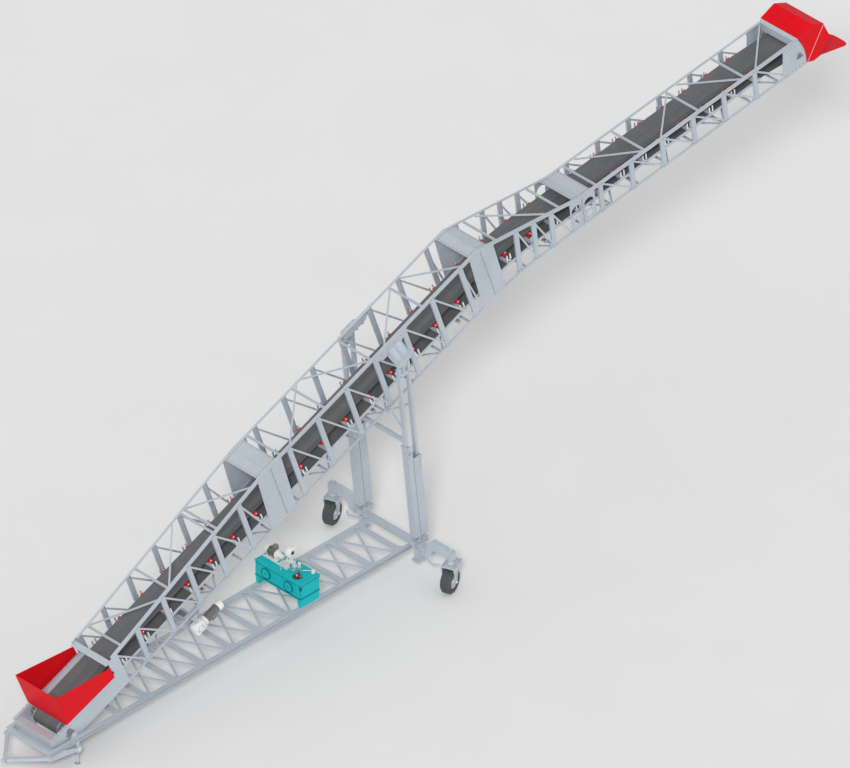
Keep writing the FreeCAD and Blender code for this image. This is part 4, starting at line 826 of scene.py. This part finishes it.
def joints():
    """A dark strip down each joint plate, painted shade where the gap between the plates lies, with bolts
    beside it and along the plate's edges.
    """
    gap_shade_strips, bolts = Shape(), []
    for (top_x, foot_x), (top0, top1, foot0, foot1) in zip(PLATE_SEAMS, PLATE_EDGES):
        crest, foot = at(top_x, 0, top_z(top_x) - 0.075), at(foot_x, 0, bottom_z(foot_x) + 0.075)
        line = (crest - foot).normalized()
        aside = at(line.z, 0, -line.x)
        for _, s in SIDES:
            y = Y * s * PLATE_Y
            # painted shade: a dark strip standing for the shaded gap between the joint plates
            gap_shade_strips.block((crest + foot) / 2 + y, ((crest - foot).length, 0.014, 0.006), line, Y * s, 0.001)
            for a in (-0.050, 0.050):
                first, last = (end + y + aside * a for end in (foot + line * 0.06, crest - line * 0.06))
                bolts += row(first, last, 8, Y * s)
            for top, low, a in ((top0, foot0, 0.030), (top1, foot1, -0.030)):
                edge_top, edge_foot = at(top, 0, top_z(top) - 0.10), at(low, 0, bottom_z(low) + 0.10)
                bolts += row(edge_foot + y + aside * a, edge_top + y + aside * a, 5, Y * s)
    gap_shade_strips.piece("boom_joint_painted_gap_shade", "motor_dark", "boom")
    fasten("boom_joint_bolts", bolts, "boom", 0.026, 0.013, "galvanised_steel")


PORTAL_REACH = (0.290, 0.350)


def portals():
    """Bolts and a stiffening seam on the plates that close the top at each bend."""
    bolts, seams = [], Shape()
    for x, z in TOP_LINE[1:4]:
        for reach, step in ((-PORTAL_REACH[0], 0.035), (PORTAL_REACH[1], -0.035)):
            edge = x + reach + step
            across = at(0, 0.50, 0)
            middle_of = at(edge, 0, top_z(edge))
            other = at(x + reach / 2, 0, top_z(x + reach / 2))
            run = (other - middle_of).normalized() * (1 if reach < 0 else -1)
            up = run.cross(Y) * -1
            up = up if up.z > 0 else -up
            bolts += row(middle_of - across, middle_of + across, 12, up)
            for s in (-1, 1):
                inner = at(x + reach * 0.16, s * 0.530, top_z(x + reach * 0.16))
                outer = at(x + reach * 0.84, s * 0.530, top_z(x + reach * 0.84))
                bolts += row(inner, outer, 4, up)
        seams.block(at(x, 0, z + 0.001), (0.018, 1.10, 0.010), X, Z, 0.004)
    seams.piece("portal_seams", "galvanised_steel", "boom")
    fasten("portal_bolts", bolts, "boom", 0.028, 0.014)


POSTS = ([-10.710 + 0.890 * i for i in range(5)] + [-5.390 + 1.005 * i for i in range(7)]
         + [2.620 + 0.620 * i for i in range(3)] + [5.610 + 1.100 * i for i in range(7)])


def post_foot(top_x):
    """Where a post that starts there on the top line meets the bottom chord squarely, found by closing in."""
    tilt = LOW_PITCH if top_x < BEND_START else HIGH_PITCH
    x = top_x
    for _ in range(12):
        x = top_x + (top_z(top_x) - bottom_z(x)) * math.tan(tilt) * math.cos(tilt) ** 2
    return x


def post_bolts():
    """Two bolts at the head and the foot of every post, and a gusset in its lower corner."""
    bolts, gussets = [], Shape()
    for top_x in POSTS:
        foot_x = post_foot(top_x)
        for _, s in SIDES:
            out = Y * s * CHORD_OUT
            for x, z, reach in ((top_x, top_z(top_x), -0.035), (foot_x, bottom_z(foot_x), 0.035)):
                run = along_at(x)
                if reach < 0:
                    run = (at(x + 0.1, 0, top_z(x + 0.1)) - at(x - 0.1, 0, top_z(x - 0.1))).normalized()
                up = at(-run.z, 0, run.x)
                spot = at(x, 0, z) + up * reach + out
                bolts += [(spot + run * d, Y * s) for d in (-0.040, 0.040)]
            run, up = along_at(foot_x), up_at(foot_x)
            corner = at(foot_x, s * (CHORD_OUT - 0.018), bottom_z(foot_x)) - run * 0.068 + up * 0.060
            gussets.prism([corner, corner - run * 0.12, corner + up * 0.13], Y * -s * 0.008, 0.0015)
    gussets.piece("post_gussets", "galvanised_steel", "boom")
    fasten("post_bolts", bolts, "boom", 0.026, 0.013)


CARRY_RISE, ROLL_R = 0.640, 0.050
IDLER_START, IDLER_PITCH, IDLER_COUNT = -11.610, 0.790, 30
ROLL_END_Y, WING_POST_Y = 0.165, 0.5435       # the level roll's end, and the wing rolls' posts
TROUGH = math.radians(28)
FIRST_WINGED, WING_ROLL = -10.800, 0.280


def chord_point(x, rise):
    return at(x, 0, bottom_z(x)) + up_at(x) * rise


def idlers():
    """Brackets that hold the rolls on their cross beam, and the ends of the wing rolls' shafts."""
    brackets, shafts, bolts = Shape(), Shape(), []
    c, s = math.cos(TROUGH), math.sin(TROUGH)
    for i in range(IDLER_COUNT):
        x = IDLER_START + i * IDLER_PITCH
        up, run = up_at(x), along_at(x)
        base = chord_point(x, CARRY_RISE - 2 * ROLL_R - 0.055 + 0.025)
        axis = chord_point(x, CARRY_RISE - ROLL_R - 0.001)
        for side in (-1, 1):
            joint, foot = axis + Y * side * ROLL_END_Y, base + Y * side * ROLL_END_Y
            brackets.prism([foot + run * 0.040, foot - run * 0.040, joint - run * 0.016 + up * 0.006,
                            joint + run * 0.016 + up * 0.006], Y * side * 0.006)
            bolts += [(base + Y * side * 0.46 + run * d, up) for d in (-0.025, 0.025)]
            post = base + Y * side * WING_POST_Y
            for d in (-1, 1):
                upright = post + run * d * 0.055 + up * 0.102
                brackets.block(upright, (0.205, 0.038, 0.004), up, Y * side, 0.001)
            brackets.block(post + up * 0.014, (0.150, 0.028, 0.004), run, Y * side, 0.001)
            if x < FIRST_WINGED:
                continue
            inner = axis + Y * side * 0.184 + up * (0.034 * s - 0.004)
            lean = (Y * side * c + up * s)
            shafts.turned(mm(0.5, 14, 26, 14, 28, 0), inner + lean * WING_ROLL, lean, 12)
    brackets.piece("idler_brackets", "white_paint", "boom")
    shafts.piece("idler_shaft_ends", "white_paint", "boom")
    fasten("idler_bolts", bolts, "boom", 0.024, 0.012)


# ---------------------------------------------------------------- tail and hopper
TAIL_EDGE = ((-13.750, 1.045), (-11.500, 1.968))
TAIL_AXLE_X, TAIL_AXLE_Z = -13.100, 1.015
SKIRT_START, SKIRT_END, SKIRT_Y = -13.150, -11.320, 0.470
FLANGE_Y = 0.676                              # the bolted upper edge of the tail box


def tail_edge_z(x):
    (x0, z0), (x1, z1) = TAIL_EDGE
    return z0 + (z1 - z0) * (x - x0) / (x1 - x0)


def tail():
    """Skirt boards with rubbers along the belt's edges, and the tail pulley's bearings in their slots."""
    (x0, z0), (x1, z1) = TAIL_EDGE
    run = at(x1 - x0, 0, z1 - z0).normalized()
    up = at(-run.z, 0, run.x)
    boards, rubber, bolts = Shape(), Shape(), []
    for name, s in SIDES:
        a, b = (at(x, s * SKIRT_Y, tail_edge_z(x) + 0.02) for x in (SKIRT_START, SKIRT_END))
        centre, length = (a + b) / 2, (b - a).length
        boards.block(centre, (length, 0.110, 0.010), run, up, 0.002)
        boards.block(centre - Y * s * 0.055 - up * 0.045, (length, 0.008, 0.10), run, up, 0.002)
        boards.block(centre + Y * s * 0.075 + up * 0.020, (length, 0.040, 0.040), run, up, 0.003)
        rubber.block(centre - Y * s * 0.066 - up * 0.085, (length, 0.012, 0.10), run, up, 0.003)
        first, last = (end - Y * s * 0.051 - up * 0.04 for end in (a, b))
        bolts += row(first + run * 0.08, last - run * 0.08, 9, Y * -s)
        first, last = (at(x, s * FLANGE_Y, tail_edge_z(x)) for x in (x0 + 0.08, -13.270))
        bolts += row(first, last, 4, up)
        bearing(at(TAIL_AXLE_X, s * 0.642, TAIL_AXLE_Z), run, up, Y * s, "tail_bearing_" + name, "boom")
        slot = at(TAIL_AXLE_X, s * 0.643, TAIL_AXLE_Z)
        boards.block(slot + up * 0.098, (0.46, 0.016, 0.022), run, Y * s, 0.003)
        boards.block(slot - up * 0.098, (0.46, 0.016, 0.022), run, Y * s, 0.003)
    boards.piece("skirt_boards", "galvanised_steel", "boom")
    rubber.piece("skirt_rubbers", "belt_rubber", "boom")
    fasten("tail_bolts", bolts, "boom", 0.024, 0.012)


def hopper():
    """Folded rims and weld seams of the feed hopper."""
    rim = [at(-11.672, 0.655, 2.215), at(-13.610, 0.720, 2.300), at(-13.610, -0.720, 2.300),
           at(-11.672, -0.655, 2.215)]
    made = Shape()
    for a, b in zip(rim, rim[1:]):
        length = (b - a).length
        inwards = Z.cross(b - a).normalized()
        inwards = inwards if inwards.dot(at(-12.5, 0, 0) - (a + b) / 2) > 0 else -inwards
        made.block((a + b) / 2 + inwards * 0.004, (length, 0.018, 0.012), b - a, Z, 0.004)
    for _, s in SIDES:
        made.pipe([at(-13.206, s * 0.680, 1.272), at(-13.606, s * 0.720, 2.294)], 0.006, 8)
    made.piece("hopper_rims", "red_paint", "boom")


# ---------------------------------------------------------------- head
def head():
    """Bearings, guides and bolts on the head plates, pink bars painted as the highlight on the hood's edges,
    the hood's folds, and the belt scraper.
    """
    axle = middle("head_pulley")
    run, up = ALONG_HIGH, UP_HIGH
    guides, bolts = Shape(), []
    for name, s in SIDES:
        bearing(at(axle.x, s * 0.643, axle.z), run, up, Y * s, "head_bearing_" + name, "boom", 0.75)
        plate = at(axle.x, s * 0.6435, axle.z)
        for d in (-0.105, 0.105):
            guides.block(plate + up * d, (0.40, 0.012, 0.020), run, Y * s, 0.003)
        guides.block(plate - run * 0.30 + up * 0.02, (0.030, 0.012, 0.42), run, up, 0.003)
        bolts += row(plate - run * 0.55 + up * 0.36, plate - run * 0.12 + up * 0.36, 5, Y * s)
        bolts += row(plate - run * 0.55 - up * 0.34, plate + run * 0.10 - up * 0.34, 6, Y * s)
    guides.piece("head_guides", "galvanised_steel", "boom")
    fasten("head_bolts", bolts, "boom", 0.026, 0.013)
    # painted highlight: a pink bar along each front edge of the hood, where light catches it
    edge = Shape()
    tip, front = at(12.975, 0, 8.450), at(13.545, 0, 9.350)
    lean = (front - tip).normalized()
    back = at(-lean.z, 0, lean.x)
    for _, s in SIDES:
        bar = (tip + front) / 2 + back * 0.013 + Y * s * 0.674
        edge.block(bar, ((front - tip).length - 0.02, 0.006, 0.030), lean, back, 0.002)
    edge.piece("hood_edge_painted_highlight", "pink_edge", "boom")
    folds = Shape()
    folds.block(at(13.110, 0, 9.544), (0.020, 1.30, 0.008), X, Z, 0.003)
    for y in (-0.42, 0.0, 0.42):
        a, b = at(12.66, y, 9.349), at(13.08, y, 9.534)
        folds.block((a + b) / 2, ((b - a).length, 0.014, 0.008), b - a, Z, 0.003)
    folds.piece("hood_folds", "red_paint", "boom")
    closer, low_edge, high_edge = Shape(), at(12.552, 0, 9.250), at(12.640, 0, 9.332)
    slope = high_edge - low_edge
    closer.block((low_edge + high_edge) / 2, (slope.length, 1.286, 0.006), slope, Z, 0.002)
    closer.piece("hood_closing_plate", "galvanised_steel", "boom")
    scraper = Shape()
    below = axle - up * 0.24 - run * 0.10
    scraper.block(below, (0.030, 1.20, 0.050), run, up, 0.004)
    scraper.block(below + up * 0.020 + run * 0.03, (0.012, 0.78, 0.050), run, up, 0.002)
    scraper.piece("belt_scraper", "zinc", "boom")


# ---------------------------------------------------------------- legs
LEG_Y = 0.985
LEG_FOOT, LEG_TOP = at(AXLE_X, 0, 1.100), at(-1.740, 0, 6.575)
LEG_DIR = (LEG_TOP - LEG_FOOT).normalized()
LEG_SIDE = at(LEG_DIR.z, 0, -LEG_DIR.x)
LEG_HALF_X, LEG_HALF_Y, COLUMN_SPREAD = 0.215, 0.105, 0.157
OUTER_START, OUTER_END, HEAD_SIDE_END, SEAM_AT = 0.095, 3.040, 2.600, -0.047


def on_leg(s, t, y):
    """A place s up the leg and t across it, both in the leg's own plane, and y to the left."""
    return LEG_FOOT + LEG_DIR * s + LEG_SIDE * t + Y * y


def legs():
    """Dark strips painted as the shade in the seams where the two channels of the outer tube meet, collars at
    its mouth, and locking pins.
    """
    for name, s in SIDES:
        seams, bolts, collar = Shape(), [], Shape()
        for face in (-1, 1):
            y = s * LEG_Y + face * LEG_HALF_Y
            a, b = on_leg(OUTER_START + 0.03, SEAM_AT, y), on_leg(HEAD_SIDE_END - 0.02, SEAM_AT, y)
            # painted shade: a dark strip standing for the shaded seam between the two channels
            seams.block((a + b) / 2, ((b - a).length, 0.012, 0.006), b - a, Y, 0.001)
            for edge in (-1, 1):
                t = edge * (LEG_HALF_X - 0.020)
                end = OUTER_END if edge < 0 else HEAD_SIDE_END
                bolts += row(on_leg(end - 0.09, t * 0.92, y), on_leg(end - 0.33, t * 0.92, y), 3, Y * face)
        for end, t0, t1 in ((OUTER_END, -LEG_HALF_X, SEAM_AT), (HEAD_SIDE_END, SEAM_AT + 0.012, LEG_HALF_X)):
            middle_t, width = (t0 + t1) / 2, t1 - t0
            for face in (-1, 1):
                collar.block(on_leg(end - 0.035, middle_t, s * LEG_Y + face * (LEG_HALF_Y + 0.007)),
                             (width + 0.02, 0.070, 0.014), LEG_SIDE, Y, 0.003)
            outer_t = t0 if t0 < -0.1 else t1
            outer = on_leg(end - 0.035, outer_t * 1.033, s * LEG_Y)
            collar.block(outer, (2 * LEG_HALF_Y + 0.028, 0.070, 0.014), Y, LEG_SIDE, 0.003)
        seams.piece("leg_painted_seam_shade_" + name, "motor_dark", "legs")
        collar.piece("leg_collars_" + name, "galvanised_steel", "legs")
        fasten("leg_bolts_" + name, bolts, "legs", 0.030, 0.016)
        pins = Shape()
        for face in (-1, 1):
            pins.turned(mm(0, 40, 12, 40, 14, 30, 30, 30, 34, 24, 34, 0),
                        on_leg(OUTER_END - 0.21, -COLUMN_SPREAD, s * LEG_Y + face * LEG_HALF_Y), Y * face, 20)
            pins.turned(mm(0, 62, 10, 62, 14, 56, 14, 40, 30, 36, 32, 0),
                        at(LEG_FOOT.x, s * LEG_Y + face * 0.080, LEG_FOOT.z), Y * face, 24)
        pins.piece("leg_pins_" + name, "zinc", "legs")
        column_bolts(name, s)


def column_bolts(name, s):
    """Bolts at the head of the columns and under the piece across them."""
    bolts = []
    for face in (-1, 1):
        for t in (-COLUMN_SPREAD, COLUMN_SPREAD):
            spot = on_leg(5.295, t, s * LEG_Y + face * 0.055)
            bolts += [(spot + LEG_SIDE * d, Y * face) for d in (-0.020, 0.020)]
    for t in (-0.100, 0.0, 0.100):
        bolts += [(on_leg(5.246, t, s * LEG_Y + d), -LEG_DIR) for d in (-0.030, 0.030)]
    fasten("column_bolts_" + name, bolts, "leg_columns", 0.026, 0.013)


def trunnions():
    """Caps on the pins that the boom lies on, and the bolts of their brackets."""
    for name, s in SIDES:
        pin, bolts = Shape(), []
        for face in (-1, 1):
            pin.turned(mm(0, 56, 8, 56, 12, 50, 12, 30, 24, 28, 26, 0),
                       at(LEG_TOP.x, s * LEG_Y + face * 0.060, LEG_TOP.z), Y * face, 24)
        pin.piece("trunnion_caps_" + name, "zinc", "boom")
        for x in (-2.18, -1.95, -1.72, -1.49):
            bolts += [(at(x, s * 0.6465, top_z(x) - drop), Y * s) for drop in (0.11, 0.26)]
        fasten("trunnion_bolts_" + name, bolts, "boom", 0.030, 0.016)


# ---------------------------------------------------------------- undercarriage
CROSS_START, CROSS_PITCH, CROSS_COUNT = -11.450, 0.985, 11


def undercarriage():
    """Gussets and bolts of the ground frame's cross bars, and what is bolted on at the hinge and the axle."""
    gussets, bolts = Shape(), []
    for i in range(CROSS_COUNT):
        x = CROSS_START + CROSS_PITCH * i
        for _, s in SIDES:
            for d in (-1, 1):
                corner = at(x + d * 0.065, s * 0.706, RAIL_TOP - 0.012)
                gussets.prism([corner, corner + X * d * 0.11, corner - Y * s * 0.11], Z * 0.008, 0.0015)
            bolts += [(at(x + d, s * (RAIL_Y - 0.012), RAIL_TOP - 0.060), Y * s) for d in (-0.035, 0.035)]
    gussets.piece("ladder_gussets", "galvanised_steel", "undercarriage")
    fasten("ladder_bolts", bolts, "undercarriage", 0.026, 0.013)

    fittings, bolts = Shape(), []
    for _, s in SIDES:
        for face, y in ((1, 0.737), (-1, 0.707)):
            fittings.turned(mm(0, 58, 8, 58, 12, 52, 12, 40), at(HINGE_X, s * y, HINGE_Z), Y * s * face, 28)
        fittings.turned(mm(0, 46, 6, 50, 18, 50, 22, 44, 22, 0), at(HINGE_X, s * 0.739, HINGE_Z), Y * s, 24)
        for x in (AXLE_X - 0.165, AXLE_X + 0.165):
            bolts += [(at(x, s * (LEG_Y - 0.055), 1.040), Z), (at(x, s * (LEG_Y + 0.055), 1.040), Z)]
        flange = at(AXLE_X, s * 1.238, 0.822)
        bolts += [(flange + X * dx + Z * dz, Y * s) for dz in (-0.045, 0.045) for dx in (-0.085, 0.085)]
        fittings.block(flange - Y * s * 0.012, (0.24, 0.170, 0.016), X, Y, 0.004)
        fittings.block(flange + Y * s * 0.006, (0.24, 0.170, 0.016), X, Y, 0.004)
        fittings.block(at(AXLE_X, s * LEG_Y, 0.398), (0.30, 0.21, 0.014), X, Z, 0.004)
    fittings.piece("axle_and_hinge_fittings", "galvanised_steel", "undercarriage")
    fasten("axle_bolts", bolts, "undercarriage", 0.032, 0.018)


def arms_and_tow_bar():
    """The tow eye's bush, the jacks' pivots, and the caps and bolts on the outrigger arms."""
    eye = at(-14.760, 0, 0.638)
    bush = Shape()
    bush.turned(mm(-34, 26.2, -34, 38, -30, 42, 30, 42, 34, 38, 34, 26.2), eye, Z, 40, closed=True)
    for s in (-1, 1):
        bush.prism([eye + at(0.10, s * 0.030, 0.026), eye + at(0.34, s * 0.150, 0.026),
                    eye + at(0.30, s * 0.02, 0.026)], Z * 0.008, 0.002)
        bush.turned(mm(0, 60, 12, 60, 18, 54, 18, 36, 34, 34, 36, 0),
                    at(JACK_X, s * 0.8300, 0.466), Y * s, 28)
        bush.block(at(-13.87, s * RAIL_Y, 0.588), (0.14, 0.11, 0.010), X, Z, 0.002)
    bush.piece("tow_fittings", "rim_paint", "undercarriage")
    caps, bolts = Shape(), []
    for _, s in SIDES:
        for x in (-1, 1):
            caps.block(at(AXLE_X + x * 0.078, s * 1.86, 1.085), (0.60, 0.010, 0.030), Y, Z, 0.003)
        caps.block(at(AXLE_X, s * 2.198, 1.083), (0.16, 0.22, 0.008), X, Y, 0.003)
        caps.turned(mm(0, 75, 10, 75, 14, 68, 14, 34), at(AXLE_X, s * KING_Y, 1.205), Z, 32)
        bolts += ring(at(AXLE_X, s * KING_Y, 1.2145), Z, 0.062, 6, Z, 0.3)
    caps.piece("arm_caps", "galvanised_steel", "undercarriage")
    fasten("arm_bolts", bolts, "undercarriage", 0.018, 0.010)


def jacks():
    for name, s in SIDES:
        spot = at(JACK_X, s * RAIL_Y, 0)
        collar = Shape()
        collar.turned(mm(290, 36.5, 290, 56, 296, 60, 330, 60, 336, 52, 336, 48.5), spot, Z, 32, closed=True)
        collar.turned(mm(0, 18, 12, 22, 30, 22, 34, 10, 100, 10, 104, 0),
                      spot + Z * 0.360 + Y * s * 0.040 - X * 0.02, (Y * s - X * 0.3), 18)
        collar.piece("jack_collar_" + name, "zinc", "undercarriage")
        foot = Shape()
        foot.turned(mm(18, 72, 20, 66, 26, 48, 34, 32.5), spot, Z, 36)
        foot.piece("jack_foot_" + name, "zinc", "jack_" + name)


MACHINE = (power_pack, drive_unit, wheels, joints, portals, post_bolts, idlers, tail, hopper, head, legs,
           trunnions, undercarriage, arms_and_tow_bar, jacks)
for make in (camera, lights, floor, finish_solids, *MACHINE):
    make()
